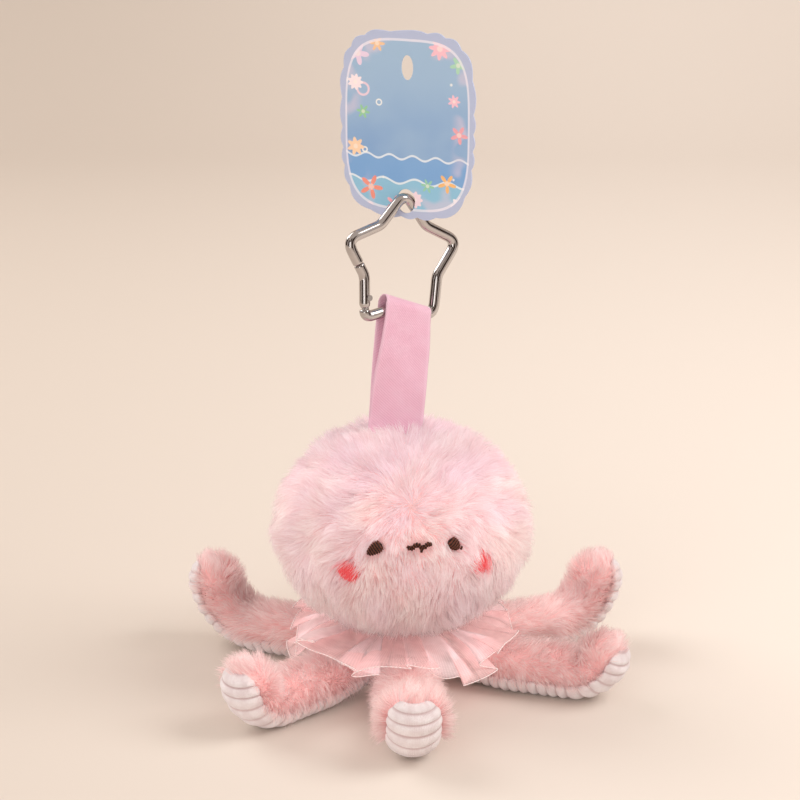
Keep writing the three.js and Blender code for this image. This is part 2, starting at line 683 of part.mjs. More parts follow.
// The bar of the star that the ribbon hangs from, and the ribbon's run up to it, in the clip's own plane.
const BAR_START = starCorner(BOTTOM_NOTCH);
const BAR_DIRECTION = starCorner(LOWER_RIGHT_TIP).sub(BAR_START).normalize();
const RUN_DIRECTION = new THREE.Vector3(Math.sin(radians(RIBBON_SLANT)), 0, Math.cos(radians(RIBBON_SLANT)));
const FOOT_IN_CLIP = BAR_START.clone()
  .addScaledVector(BAR_DIRECTION, RIBBON_ALONG_BAR)
  .addScaledVector(RUN_DIRECTION, -RIBBON_LENGTH);

// The clip's place: it leans and rolls, and the ribbon's foot is on the crown of the head.
const RIBBON_HINGE_Z = HEAD_TOP_Z + GAP + 2 * RIBBON_END;
const RIBBON_FOOT = new THREE.Vector3(RIBBON_ROOT_X, 0, RIBBON_HINGE_Z - RIBBON_END);
const CLIP_TURN = new THREE.Euler(-radians(STAR_LEAN), radians(STAR_ROLL), radians(STAR_TURN), "ZXY");
const CLIP_CENTRE = RIBBON_FOOT.clone().sub(FOOT_IN_CLIP.clone().applyEuler(CLIP_TURN));
const CLIP_PLACE = new THREE.Matrix4().makeRotationFromEuler(CLIP_TURN).setPosition(CLIP_CENTRE);

const RUN_ALONG = RUN_DIRECTION.clone().applyEuler(CLIP_TURN);
const BAR_ALONG = BAR_DIRECTION.clone().applyEuler(CLIP_TURN);
const CROWN_RADIUS = WIRE_RADIUS + RIBBON_SLACK + RIBBON_THICKNESS / 2;

// The ribbon's middle, width and outward directions at a share of its run from its foot to its crown.
function ribbonFrame(share) {
  const across = new THREE.Vector3(1, 0, 0).lerp(BAR_ALONG, smooth(share)).normalize();
  const out = across.clone().cross(RUN_ALONG).normalize();
  const up = out.clone().cross(across);
  return { middle: RIBBON_FOOT.clone().addScaledVector(RUN_ALONG, share * RIBBON_LENGTH), across, out, up };
}

// Half of the distance between the two layers: closed at the foot, wide enough for the wire near the crown.
function layerOffset(share) {
  return lerp((RIBBON_THICKNESS + GAP) / 2, CROWN_RADIUS, smooth(share / RIBBON_OPENING));
}

// The ribbon runs up in front, over the bar and down behind.
function ribbonPoint(row, column, lift) {
  const across = RIBBON_WIDTH * (column / 2 - 0.5);
  const crownRow = row - RIBBON_RUN_ROWS;
  if (crownRow > 0 && crownRow < RIBBON_CROWN_ROWS) {
    const frame = ribbonFrame(1);
    const turn = (Math.PI * crownRow) / RIBBON_CROWN_ROWS;
    return frame.middle
      .addScaledVector(frame.across, across)
      .addScaledVector(frame.out, (CROWN_RADIUS + lift) * Math.cos(turn))
      .addScaledVector(frame.up, (CROWN_RADIUS + lift) * Math.sin(turn));
  }
  const side = crownRow <= 0 ? 1 : -1;
  const done = crownRow <= 0 ? row : 2 * RIBBON_RUN_ROWS + RIBBON_CROWN_ROWS - row;
  const share = done / RIBBON_RUN_ROWS;
  const frame = ribbonFrame(share);
  return frame.middle
    .addScaledVector(frame.across, across)
    .addScaledVector(frame.out, side * (layerOffset(share) + lift));
}

function ribbonLoop() {
  const face = (lift) => (row, column) => ribbonPoint(row, column, lift);
  const rows = 2 * RIBBON_RUN_ROWS + RIBBON_CROWN_ROWS;
  return bodyFrom(thickPatch(face(RIBBON_THICKNESS / 2), face(-RIBBON_THICKNESS / 2), rows, 2));
}

// Tag

// The card's outline: a rounded oblong with a rim of shallow lobes, centred on its own middle.
function tagOutline() {
  const outline = new THREE.Shape();
  const count = TAG_LOBES * LOBE_POINTS;
  for (let k = 0; k < count; k += 1) {
    const angle = (2 * Math.PI * k) / count;
    const [cos, sin] = [Math.cos(angle), Math.sin(angle)];
    const lobe = TAG_LOBE_HEIGHT * (Math.abs(Math.sin((TAG_LOBES * angle) / 2)) - 1);
    const [halfWidth, halfHeight] = [TAG_WIDTH / 2 + lobe, TAG_HEIGHT / 2 + lobe];
    const stretch = (Math.abs(cos) ** TAG_SQUARENESS + Math.abs(sin) ** TAG_SQUARENESS) ** (-1 / TAG_SQUARENESS);
    const narrowing = 1 - TAG_TAPER * (0.5 - (stretch * sin) / 2);
    const corner = [halfWidth * narrowing * stretch * cos, halfHeight * stretch * sin];
    if (k === 0) outline.moveTo(...corner);
    else outline.lineTo(...corner);
  }
  return outline;
}

// A slot with round ends, upright, with its middle at a place.
function slotHole(x, z, width, height) {
  const [radius, half] = [width / 2, (height - width) / 2];
  const hole = new THREE.Path();
  hole.absarc(x, z + half, radius, 0, Math.PI);
  hole.absarc(x, z - half, radius, Math.PI, 2 * Math.PI);
  return hole;
}

function tagCard() {
  const outline = tagOutline();
  const tipZ = TAG_BELOW_TIP - TAG_HEIGHT / 2;
  const holeX = TAG_HOLE_ASIDE - TAG_ASIDE;
  outline.holes.push(slotHole(holeX, tipZ - TAG_HOLE_DROP, TAG_HOLE_WIDTH, TAG_HOLE_HEIGHT));
  const pegZ = TAG_HEIGHT / 2 - TAG_PEG_HOLE_BELOW_TOP;
  outline.holes.push(slotHole(0, pegZ, TAG_PEG_HOLE_WIDTH, TAG_PEG_HOLE_HEIGHT));
  const card = new THREE.ExtrudeGeometry(outline, {
    depth: TAG_THICKNESS,
    bevelEnabled: false,
    curveSegments: 6,
  });
  return card.translate(TAG_ASIDE, -tipZ, -TAG_THICKNESS / 2).rotateX(Math.PI / 2);
}

// Assembly

const charm = new THREE.Group();

charm.add(piece("head_front_panel", headPanel(-1), finish(COLOURS.plush)));
charm.add(piece("head_back_panel", headPanel(1), finish(COLOURS.plush)));
charm.add(piece("head_filling", headFilling(), finish(COLOURS.filling)));
charm.add(piece("base_patch", basePatch(), finish(COLOURS.sole)));

const eye = (side) =>
  stitchPatch(side * EYE_BEARING, EYE_RISE, EYE_HALF_WIDTH, EYE_HALF_HEIGHT, -side * EYE_TILT);
const cheek = (side) => stitchPatch(side * CHEEK_BEARING, CHEEK_RISE, CHEEK_HALF_WIDTH, CHEEK_HALF_HEIGHT);
charm.add(piece("eye_left", eye(-1), finish(COLOURS.stitchBrown, 0.6)));
charm.add(piece("eye_right", eye(1), finish(COLOURS.stitchBrown, 0.6)));
charm.add(piece("mouth", mouthBar(), finish(COLOURS.stitchBrown, 0.6)));
charm.add(piece("cheek_left", cheek(-1), finish(COLOURS.stitchCoral, 0.7)));
charm.add(piece("cheek_right", cheek(1), finish(COLOURS.stitchCoral, 0.7)));
charm.add(piece("ruffle", ruffle(), finish(COLOURS.organza, 0.5)));

for (const limb of LIMBS) {
  charm.add(piece(`tentacle_${limb.name}_upper`, limbUpper(limb), finish(COLOURS.plush)));
  charm.add(piece(`tentacle_${limb.name}_sole`, limbSole(limb), finish(COLOURS.sole)));
  charm.add(piece(`tentacle_${limb.name}_filling`, limbFilling(limb), finish(COLOURS.filling)));
}

charm.add(piece("ribbon_loop", ribbonLoop(), finish(COLOURS.ribbon, 0.6)));

const clip = new THREE.Group();
clip.applyMatrix4(CLIP_PLACE);
clip.add(piece("clip_frame", clipFrame(), finish(COLOURS.chrome, 0.12, 1)));
clip.add(piece("clip_gate", clipGate(), finish(COLOURS.chrome, 0.12, 1)));
clip.add(piece("gate_pin", gatePin(), finish(COLOURS.chrome, 0.2, 1)));
clip.add(piece("gate_spring", gateSpring(), finish(COLOURS.chrome, 0.3, 1)));
charm.add(clip);

const tag = new THREE.Group();
tag.position.copy(starCorner(TOP_TIP).applyMatrix4(CLIP_PLACE));
tag.rotation.z = radians(TAG_TURN);
tag.add(piece("tag_card", tagCard(), finish(COLOURS.card, 0.5)));
charm.add(tag);

console.log(`least gap between the spring's turns: ${springGap().toFixed(2)} mm`);

export default charm;
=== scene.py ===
"""A plush octopus bag charm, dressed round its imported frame.

Sizes are in millimetres in every class and are turned into metres where a mesh is made.
The origin is the middle of the base patch's underside, +Z is up and the face looks along -Y.
"""
from __future__ import annotations

import json
import logging
import math
from dataclasses import dataclass
from enum import Enum
from functools import cached_property, partial
from typing import Callable, Self

import bpy
import numpy as np
from mathutils import Euler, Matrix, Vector
from mathutils.kdtree import KDTree

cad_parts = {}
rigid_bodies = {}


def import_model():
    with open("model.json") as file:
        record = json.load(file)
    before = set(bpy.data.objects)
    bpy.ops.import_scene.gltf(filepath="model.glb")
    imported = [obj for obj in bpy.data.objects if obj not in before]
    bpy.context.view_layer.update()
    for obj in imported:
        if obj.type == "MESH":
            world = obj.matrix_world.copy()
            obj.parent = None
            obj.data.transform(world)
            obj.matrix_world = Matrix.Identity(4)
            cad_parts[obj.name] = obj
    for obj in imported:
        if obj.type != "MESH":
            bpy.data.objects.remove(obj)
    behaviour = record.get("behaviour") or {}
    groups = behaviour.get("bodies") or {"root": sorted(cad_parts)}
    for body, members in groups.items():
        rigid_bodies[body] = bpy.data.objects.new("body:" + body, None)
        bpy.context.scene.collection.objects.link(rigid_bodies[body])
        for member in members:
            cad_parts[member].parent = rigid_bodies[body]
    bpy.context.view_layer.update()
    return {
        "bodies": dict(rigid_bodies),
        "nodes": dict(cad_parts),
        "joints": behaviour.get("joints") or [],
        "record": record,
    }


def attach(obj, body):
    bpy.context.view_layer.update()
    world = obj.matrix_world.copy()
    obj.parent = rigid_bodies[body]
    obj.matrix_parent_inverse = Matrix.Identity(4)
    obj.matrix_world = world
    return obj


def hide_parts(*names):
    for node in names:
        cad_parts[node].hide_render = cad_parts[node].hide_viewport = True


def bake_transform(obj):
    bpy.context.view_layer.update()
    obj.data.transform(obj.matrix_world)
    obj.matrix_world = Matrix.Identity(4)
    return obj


Array = np.ndarray
Piece = bpy.types.Object
Socket = bpy.types.NodeSocket
Size = tuple[float, float]
Size3 = tuple[float, float, float]
Outline = Callable[[int, Array], Array]

LOG = logging.getLogger("charm")
MM = 0.001
UP = np.array([0.0, 0.0, 1.0])
ROUND = 2.0 * math.pi
NO_TRIS = np.zeros((0, 3), int)


# Small sums

def unit(vectors: Array) -> Array:
    """The vectors at length 1."""
    return vectors / np.maximum(np.linalg.norm(vectors, axis=-1, keepdims=True), 1e-9)


def smooth(share: Array) -> Array:
    """An eased share that starts and ends level."""
    held = np.clip(share, 0.0, 1.0)
    return held * held * (3.0 - 2.0 * held)


def lerp(start: Array, end: Array, share: Array) -> Array:
    """The value at a share of the way from start to end."""
    return start + (end - start) * share


def bearing(angle: float | Array) -> Array:
    """The unit vector in the floor plane at a bearing in degrees from +X towards +Y."""
    turn = np.radians(angle)
    return np.stack([np.cos(turn), np.sin(turn), np.zeros_like(turn)], axis=-1)


def ring_turns(count: int) -> Array:
    """Angles in radians, evenly spaced round a ring."""
    return ROUND * np.arange(count) / count


def distances(path: Array) -> Array:
    """How far along a path each of its points lies."""
    return np.concatenate([[0.0], np.cumsum(np.linalg.norm(np.diff(path, axis=0), axis=1))])


def turned(x: Array, y: Array, angle: float) -> tuple[Array, Array]:
    """Two coordinates, turned by an angle in radians."""
    return x * math.cos(angle) - y * math.sin(angle), x * math.sin(angle) + y * math.cos(angle)


def rounded(share: Array) -> Array:
    """A quarter circle's rise: steep at a share of 0 and level from a share of 1 on."""
    return np.sqrt(np.clip(1.0 - (1.0 - np.clip(share, 0.0, 1.0)) ** 2, 0.0, 1.0))


@dataclass
class Rows:
    """Arrays of one length, which are picked or changed together."""

    def each(self, change: Callable[[Array], Array]) -> Self:
        """The same arrays, each changed in one way."""
        return type(self)(*map(change, vars(self).values()))

    def only(self, chosen: Array) -> Self:
        """The chosen places only."""
        return self.each(lambda part: part[chosen])

    def followed_by(self, other: Self) -> Self:
        """These places and then another's."""
        return type(self)(*map(np.concatenate, zip(vars(self).values(), vars(other).values())))


@dataclass(frozen=True)
class Wander:
    """A smooth random field: a few waves of about one size, with seeded directions and phases."""

    size: float
    seed: int
    waves: int = 7

    def at(self, places: Array) -> Array:
        """The field's value, about -1 to 1.

        Args:
            places: points, or values of any number of coordinates in the last axis.

        Returns:
            One value for each point.
        """
        rng = np.random.default_rng(self.seed)
        ways = unit(rng.normal(size=(self.waves, places.shape[-1])))
        ways *= rng.uniform(0.6, 1.5, size=(self.waves, 1)) * ROUND / self.size
        phases = rng.uniform(0.0, ROUND, self.waves)
        return np.sin(places @ ways.T + phases).sum(axis=-1) / math.sqrt(self.waves)


# Meshes

def add_object(name: str, data: bpy.types.ID | None) -> Piece:
    """A new object of the scene that shows some data.

    Args:
        name: its name.
        data: what it shows.

    Returns:
        The object.
    """
    made = bpy.data.objects.new(name, data)
    bpy.context.scene.collection.objects.link(made)
    return made


def mesh_points(mesh: bpy.types.Mesh) -> Array:
    """A mesh's points in its own unit, one to a row.

    Args:
        mesh: the mesh.

    Returns:
        One row for each point.
    """
    points = np.empty(len(mesh.vertices) * 3, dtype=np.float32)
    mesh.vertices.foreach_get("co", points)
    return points.reshape(-1, 3)


def place_points(mesh: bpy.types.Mesh, points: Array) -> None:
    """Puts a mesh's points at places in millimetres."""
    mesh.vertices.foreach_set("co", (points * MM).astype(np.float32).ravel())


def make_object(name: str, points: Array, quads: Array, tris: Array = NO_TRIS, closed: bool = False) -> Piece:
    """A smooth-shaded mesh object in the scene.

    Args:
        name: the piece's name.
        points: corner points in millimetres.
        quads: corner numbers of the four-sided faces.
        tris: corner numbers of the three-sided faces.
        closed: whether the faces close a body, which are then turned outwards.

    Returns:
        The new object.
    """
    if closed:
        halves = np.concatenate([quads[:, [0, 1, 2]], quads[:, [0, 2, 3]], tris])
        a, b, c = (points[halves[:, k]] for k in range(3))
        if (a * np.cross(b, c)).sum() < 0.0:
            quads, tris = quads[:, ::-1], tris[:, ::-1]
    mesh = bpy.data.meshes.new(name)
    loops = np.concatenate([quads.ravel(), tris.ravel()]).astype(np.int32)
    starts = np.concatenate([np.arange(len(quads)) * 4, len(quads) * 4 + np.arange(len(tris)) * 3])
    mesh.vertices.add(len(points))
    place_points(mesh, points)
    mesh.loops.add(len(loops))
    mesh.loops.foreach_set("vertex_index", loops)
    mesh.polygons.add(len(starts))
    mesh.polygons.foreach_set("loop_start", starts.astype(np.int32))
    mesh.update(calc_edges=True)
    mesh.polygons.foreach_set("use_smooth", np.ones(len(starts), dtype=bool))
    return add_object(name, mesh)


def paint(piece: Piece, name: str, *parts: Array | float, faces: int = 1) -> None:
    """Stores three numbers a point on a mesh, for its material to read.

    Args:
        piece: the mesh object.
        name: the attribute's name.
        parts: three values for each point, or three grids of values that fit one another.
        faces: how many times the points repeat the values.
    """
    values = np.stack(np.broadcast_arrays(*parts), axis=-1).reshape(-1, 3)
    layer = piece.data.attributes.new(name, "FLOAT_VECTOR", "POINT")
    layer.data.foreach_set("vector", np.concatenate([values] * faces).astype(np.float32).ravel())


def paint_tube(piece: Piece, along: Array, girth: float, sides: int) -> None:
    """Stores how far along and round a tube its points lie.

    Args:
        piece: the tube.
        along: how far along each ring lies.
        girth: the number that stands for a full turn.
        sides: points in each ring; the middles of the two ends keep zeros.
    """
    values = np.zeros((len(along) * sides + 2, 3))
    values[:-2, 0] = np.repeat(along, sides)
    values[:-2, 1] = np.tile(np.arange(sides) / sides, len(along)) * girth
    paint(piece, "lay", *values.T)


def grid_quads(rows: int, columns: int, wraps: bool = False, first: int = 0) -> Array:
    """The four-sided faces of a grid of points.

    Args:
        rows: rows of points.
        columns: points in each row.
        wraps: whether the last column joins the first.
        first: the number of the grid's first point.

    Returns:
        The faces' corner numbers.
    """
    i, j = np.meshgrid(np.arange(rows - 1), np.arange(columns if wraps else columns - 1), indexing="ij")
    after = (j + 1) % columns
    corners = [i * columns + j, i * columns + after, (i + 1) * columns + after, (i + 1) * columns + j]
    return np.stack([c.ravel() for c in corners], axis=1) + first


def closed_skin(name: str, rings: Array, start: Array, end: Array) -> Piece:
    """A closed body from rings of points and a point at each end.

    Args:
        name: the piece's name.
        rings: points by ring and place in the ring.
        start: the point before the first ring.
        end: the point after the last ring.

    Returns:
        The new object.
    """
    count, around = rings.shape[:2]
    points = np.concatenate([rings.reshape(-1, 3), [start], [end]])
    here, after = np.arange(around), (np.arange(around) + 1) % around
    last = (count - 1) * around
    tip, toe = np.full(around, count * around), np.full(around, count * around + 1)
    tris = np.concatenate([np.stack([tip, after, here], 1), np.stack([toe, last + here, last + after], 1)])
    return make_object(name, points, grid_quads(count, around, True), tris, closed=True)


def thick_patch(name: str, outer: Array, inner: Array, wraps: bool = False) -> Piece:
    """A closed body from two faces on the same grid, joined round their edges.

    Args:
        name: the piece's name.
        outer: the outer face's points by row and column.
        inner: the inner face's points.
        wraps: whether the last column joins the first.

    Returns:
        The new object. Its first points are the outer face's, its next ones the inner face's.
    """
    rows, columns = outer.shape[:2]
    size = rows * columns
    front = grid_quads(rows, columns, wraps)
    back = grid_quads(rows, columns, wraps, size)[:, ::-1]
    j = np.arange(columns if wraps else columns - 1)
    k = (j + 1) % columns
    low = (rows - 1) * columns
    edges = [(k, j), (low + j, low + k)]
    if not wraps:
        i = np.arange(rows - 1) * columns
        far = columns - 1
        edges += [(i, i + columns), (i + columns + far, i + far)]
    edges = [np.stack([start, end, size + end, size + start], 1) for start, end in edges]
    points = np.concatenate([outer.reshape(-1, 3), inner.reshape(-1, 3)])
    return make_object(name, points, np.concatenate([front, back, *edges]), closed=True)


def grid_normals(points: Array, wraps: bool = False) -> Array:
    """The normals of a grid of points.

    Args:
        points: points by row and column.
        wraps: whether the columns close on themselves.

    Returns:
        Unit normals, on the side from which the rows run down and the columns to the right.
    """
    along = np.gradient(points, axis=0)
    if wraps:
        across = (np.roll(points, -1, axis=1) - np.roll(points, 1, axis=1)) / 2.0
    else:
        across = np.gradient(points, axis=1)
    return unit(np.cross(along, across))


def tube(name: str, path: Array, radii: float | Array, sides: int, outline: Outline | None = None) -> Piece:
    """A round bar along a path, closed at both ends.

    Args:
        name: the piece's name.
        path: points of its middle line.
        radii: its radius, or one for each point.
        sides: points in each ring.
        outline: a function of a ring's number and its points that returns changed points.

    Returns:
        The new object.
    """
    radii = np.broadcast_to(radii, len(path)).astype(float)
    tangents = unit(np.gradient(path, axis=0))
    guide = unit(np.cross(tangents[0], tangents[0][[1, 2, 0]] + 0.3))
    turns = ring_turns(sides)
    rings = []
    for k, (middle, tangent, radius) in enumerate(zip(path, tangents, radii)):
        guide = unit(guide - tangent * (guide @ tangent))
        side = np.cross(tangent, guide)
        ring = middle + radius * (np.cos(turns)[:, None] * guide + np.sin(turns)[:, None] * side)
        rings.append(ring if outline is None else outline(k, ring))
    rings = np.array(rings)
    return closed_skin(name, rings, rings[0].mean(axis=0), rings[-1].mean(axis=0))


# Materials

@dataclass(frozen=True)
class Shade:
    """A colour as it looks on a screen, 0 to 255."""

    red: float
    green: float
    blue: float

    @property
    def linear(self) -> tuple[float, float, float, float]:
        """The colour in linear light with full alpha."""
        parts = [c / 255.0 for c in (self.red, self.green, self.blue)]
        return (*(c / 12.92 if c <= 0.04045 else ((c + 0.055) / 1.055) ** 2.4 for c in parts), 1.0)


class Graph:
    """The nodes of one material, added and joined by short calls."""

    def __init__(self, name: str) -> None:
        """Starts a material whose surface is one principled shader.

        Args:
            name: the material's name.
        """
        self.material = bpy.data.materials.new(name)
        self.material.use_nodes = True
        self.tree = self.material.node_tree
        self.tree.nodes.clear()
        self.shader = self.tree.nodes.new("ShaderNodeBsdfPrincipled")
        output = self.tree.nodes.new("ShaderNodeOutputMaterial")
        self.tree.links.new(self.shader.outputs[0], output.inputs[0])

    def feed(self, target: Socket, value: object) -> None:
        """Links a socket to a node's output, or sets its own value.

        Args:
            target: the socket.
            value: an output, a colour or a number.
        """
        if isinstance(value, Socket):
            self.tree.links.new(value, target)
        else:
            target.default_value = value.linear if isinstance(value, Shade) else value

    def surface(self, **values: object) -> None:
        """Feeds the shader's sockets, named with underscores for spaces."""
        for name, value in values.items():
            self.feed(self.shader.inputs[name.replace("_", " ")], value)

    def node(
        self, kind: str, settings: dict[str, str] | None = None, numbered: dict[int, object] | None = None,
        **named: object,
    ) -> bpy.types.Node:
        """Adds a node.

        Args:
            kind: the node's type without its prefix.
            settings: properties of the node.
            numbered: values or outputs for its sockets, by number.
            named: values or outputs for its sockets, named with underscores for spaces.

        Returns:
            The node.
        """
        made = self.tree.nodes.new("ShaderNode" + kind)
        for name, value in (settings or {}).items():
            setattr(made, name, value)
        for key, value in {**(numbered or {}), **named}.items():
            self.feed(made.inputs[key.replace("_", " ") if isinstance(key, str) else key], value)
        return made

    def math(self, operation: str, first: object, second: object = 0.0, third: object = 0.0) -> Socket:
        """The output of one sum."""
        return self.node("Math", {"operation": operation}, {0: first, 1: second, 2: third}).outputs[0]

    def span(self, value: Socket, low: float, high: float, start: float = 0.0, end: float = 1.0) -> Socket:
        """A value carried smoothly from one span to another and held at its ends."""
        ends = {1: low, 2: high, 3: start, 4: end}
        return self.node("MapRange", {"interpolation_type": "SMOOTHSTEP"}, {0: value, **ends}).outputs[0]

    def mixed(self, share: object, first: object, second: object, kind: str = "MIX") -> Socket:
        """The output of a mix of two colours."""
        sockets = {0: share, 6: first, 7: second}
        return self.node("Mix", {"data_type": "RGBA", "blend_type": kind}, sockets).outputs[2]

    def stored(self, name: str) -> tuple[Socket, Socket, Socket, Socket]:
        """A stored attribute: its vector and its three numbers."""
        vector = self.node("Attribute", {"attribute_name": name}).outputs["Vector"]
        return (vector, *self.node("SeparateXYZ", Vector=vector).outputs)

    def place(self) -> Socket:
        """The point on the object, in metres."""
        return self.node("TexCoord").outputs["Object"]

    def noise(self, vector: Socket, scale: float, detail: float = 2.0) -> Socket:
        """A noise value."""
        return self.node("TexNoise", Vector=vector, Scale=scale, Detail=detail).outputs["Fac"]

    def ripple(self, value: Socket, pitch: float) -> Socket:
        """A wave of 0 to 1 that repeats after each pitch of a value."""
        turned = self.math("SINE", self.math("MULTIPLY", value, ROUND / pitch))
        return self.math("MULTIPLY_ADD", turned, 0.5, 0.5)

    def glow_through(self, share: float, colour: Socket) -> None:
        """Lets a share of the light behind the surface show through it in a colour.

        Args:
            share: the share.
            colour: the colour.
        """
        soft = self.node("BsdfTranslucent", Color=colour)
        both = self.node("MixShader", Fac=share)
        output = self.shader.outputs[0].links[0].to_socket
        self.tree.links.new(self.shader.outputs[0], both.inputs[1])
        self.tree.links.new(soft.outputs[0], both.inputs[2])
        self.tree.links.new(both.outputs[0], output)

    def bump(self, height: Socket, depth: float, strength: float = 1.0) -> None:
        """Raises the surface by a height; depth is in millimetres."""
        made = self.node("Bump", Height=height, Distance=depth * MM, Strength=strength)
        self.feed(self.shader.inputs["Normal"], made.outputs[0])


@dataclass(frozen=True)
class Finish:
    """A named finish, built once and shared by its pieces."""

    name: str
    slot: str

    def draw(self, graph: Graph) -> None:
        """Adds the finish's nodes."""
        raise NotImplementedError

    @cached_property
    def material(self) -> bpy.types.Material:
        """The finish's material, made when it is first asked for.

        Returns:
            The material.
        """
        graph = Graph(self.name)
        self.draw(graph)
        return graph.material

    def wear(self, piece: Piece) -> None:
        """Puts the finish on a piece."""
        piece.data.materials.append(self.material)

    def coat(self, node: Piece) -> None:
        """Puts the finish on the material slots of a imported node.

        Args:
            node: the node.
        """
        for place in node.material_slots:
            place.link = "OBJECT"
            place.material = self.material


@dataclass(frozen=True)
class PileFinish(Finish):
    """Long fibres with painted shade and highlight: darker at the root, where fibres shade one another, and
    paler at the tip; each a little different, with a flush in places.
    """

    root: Shade
    tip: Shade
    flush: Shade
    blush: Shade

    def draw(self, graph: Graph) -> None:
        """Adds the nodes of the fibres; the stored numbers are the place along, a chance and the flush.

        A flush of 0 to 1 mixes in the third colour: on the head the pile's own deeper tone, on the limbs a
        painted highlight on fibres that face up together with random tone; one of 1 to 2 is the dyed blush.

        Args:
            graph: the material's nodes.
        """
        _, along, chance, flush = graph.stored("pile")
        # Painted shade and highlight: each fibre runs from the darker root colour to the paler tip colour.
        body = graph.mixed(graph.span(along, 0.0, 0.85), self.root, self.tip)
        body = graph.mixed(graph.math("MINIMUM", flush, 1.0), body, self.flush)
        body = graph.mixed(graph.span(flush, 1.0, 2.0), body, self.blush)
        shaded = graph.mixed(graph.span(chance, 0.0, 1.0), Shade(240, 226, 226), Shade(255, 255, 255))
        lit = graph.mixed(1.0, body, shaded, "MULTIPLY")
        graph.surface(Base_Color=lit, Roughness=0.72, Specular_IOR_Level=0.2)
        graph.surface(Sheen_Weight=0.3, Sheen_Roughness=0.5)
        graph.glow_through(0.42, lit)


@dataclass(frozen=True)
class KnitFinish(Finish):
    """The knitted ground that the pile stands on."""

    light: Shade
    deep: Shade

    def draw(self, graph: Graph) -> None:
        """Adds the nodes of a fine uneven knit.

        Args:
            graph: the material's nodes.
        """
        place = graph.place()
        speck = graph.noise(place, 2600.0)
        cloud = graph.noise(place, 90.0)
        body = graph.mixed(graph.span(cloud, 0.3, 0.7), self.deep, self.light)
        graph.surface(Base_Color=graph.mixed(graph.span(speck, 0.35, 0.7), self.deep, body), Roughness=0.95)
        graph.surface(Sheen_Weight=0.3)
        graph.bump(speck, 0.5, 0.7)


@dataclass(frozen=True)
class CorduroyFinish(Finish):
    """Corduroy: pale tufted wales with painted shade in the grooves; it reads across, along and the wale's
    crest.
    """

    crest: Shade
    groove_shade: Shade

    def draw(self, graph: Graph) -> None:
        """Adds the nodes of the cut pile on the wales.

        Args:
            graph: the material's nodes.
        """
        lay, across, _, rise = graph.stored("lay")
        tuft = graph.noise(lay, 3.1, 3.0)
        cloud = graph.noise(lay, 0.22)
        yarn = graph.ripple(across, 0.62)
        worn = graph.mixed(graph.span(cloud, 0.35, 0.7, 0.0, 0.35), self.crest, self.groove_shade)
        # Painted shade: the grooves between the wales get a darker colour.
        body = graph.mixed(graph.span(rise, 0.05, 0.62), self.groove_shade, worn)
        # Painted shade: darker specks where the tuft noise is low, which the bump sinks.
        body = graph.mixed(graph.span(tuft, 0.3, 0.7, 0.1, 0.0), body, Shade(190, 160, 160))
        graph.surface(Base_Color=body, Roughness=0.94, Sheen_Weight=0.4, Sheen_Roughness=0.45)
        graph.bump(graph.math("MULTIPLY_ADD", yarn, 0.35, tuft), 0.35, 0.8)


@dataclass(frozen=True)
class OrganzaFinish(Finish):
    """Sheer woven organza with painted shade in its folds, deeper in the troughs and paler at the crests; the
    stored numbers are the place round, the place down and the fold's crest.
    """

    thread: Shade
    fold: Shade
    cover: float

    def draw(self, graph: Graph) -> None:
        """Adds the nodes of the sheer weave.

        Args:
            graph: the material's nodes.
        """
        lay, around, down, crest = graph.stored("lay")
        weave = graph.math("MULTIPLY", graph.ripple(around, 0.55), graph.ripple(down, 0.55))
        cloud = graph.noise(lay, 0.16)
        # Painted shade: the fold colour deepens the troughs of the folds and the thread colour lightens their
        # crests.
        body = graph.mixed(graph.span(crest, 0.0, 1.0), self.fold, self.thread)
        graph.surface(Base_Color=body, Roughness=0.42, Sheen_Weight=0.5, Sheen_Roughness=0.3)
        soft = graph.span(cloud, 0.3, 0.7, self.cover - 0.07, self.cover + 0.09)
        graph.surface(Alpha=graph.math("MULTIPLY_ADD", weave, 0.16, soft))
        graph.bump(weave, 0.08, 0.5)
        graph.glow_through(0.2, body)


@dataclass(frozen=True)
class HemFinish(Finish):
    """A rolled hem, over-stitched with bright thread; the stored numbers are the place along and round."""

    thread: Shade
    gap: Shade

    def draw(self, graph: Graph) -> None:
        """Adds the nodes of the slanting stitches.

        Args:
            graph: the material's nodes.
        """
        _, along, around, _ = graph.stored("lay")
        slant = graph.ripple(graph.math("MULTIPLY_ADD", around, 0.25, along), 0.7)
        graph.surface(Base_Color=graph.mixed(slant, self.gap, self.thread), Roughness=0.5, Sheen_Weight=0.3)
        graph.bump(slant, 0.15, 0.8)


@dataclass(frozen=True)
class ThreadFinish(Finish):
    """Flat embroidery in a lustrous thread with painted shade in the gaps between the stitches; the stored
    numbers are across and along the stitches.
    """

    thread: Shade
    gap: Shade
    gloss: float

    def draw(self, graph: Graph) -> None:
        """Adds the nodes of the parallel stitches.

        Args:
            graph: the material's nodes.
        """
        lay, across, along, _ = graph.stored("lay")
        ridge = graph.ripple(across, 0.85)
        ply = graph.ripple(graph.math("MULTIPLY_ADD", along, 0.7, across), 0.28)
        cloud = graph.noise(lay, 0.9)
        # Painted shade: the gap colour, near black for the brown thread, darkens the grooves between the
        # stitch ridges that the bump sinks.
        lit = graph.mixed(graph.span(ridge, 0.1, 0.7), self.gap, self.thread)
        body = graph.mixed(graph.span(cloud, 0.35, 0.75, 0.0, 0.35), lit, self.gap)
        graph.surface(Base_Color=body, Roughness=self.gloss, Specular_IOR_Level=0.25)
        graph.bump(graph.math("MULTIPLY_ADD", ply, 0.3, ridge), 0.12, 0.9)


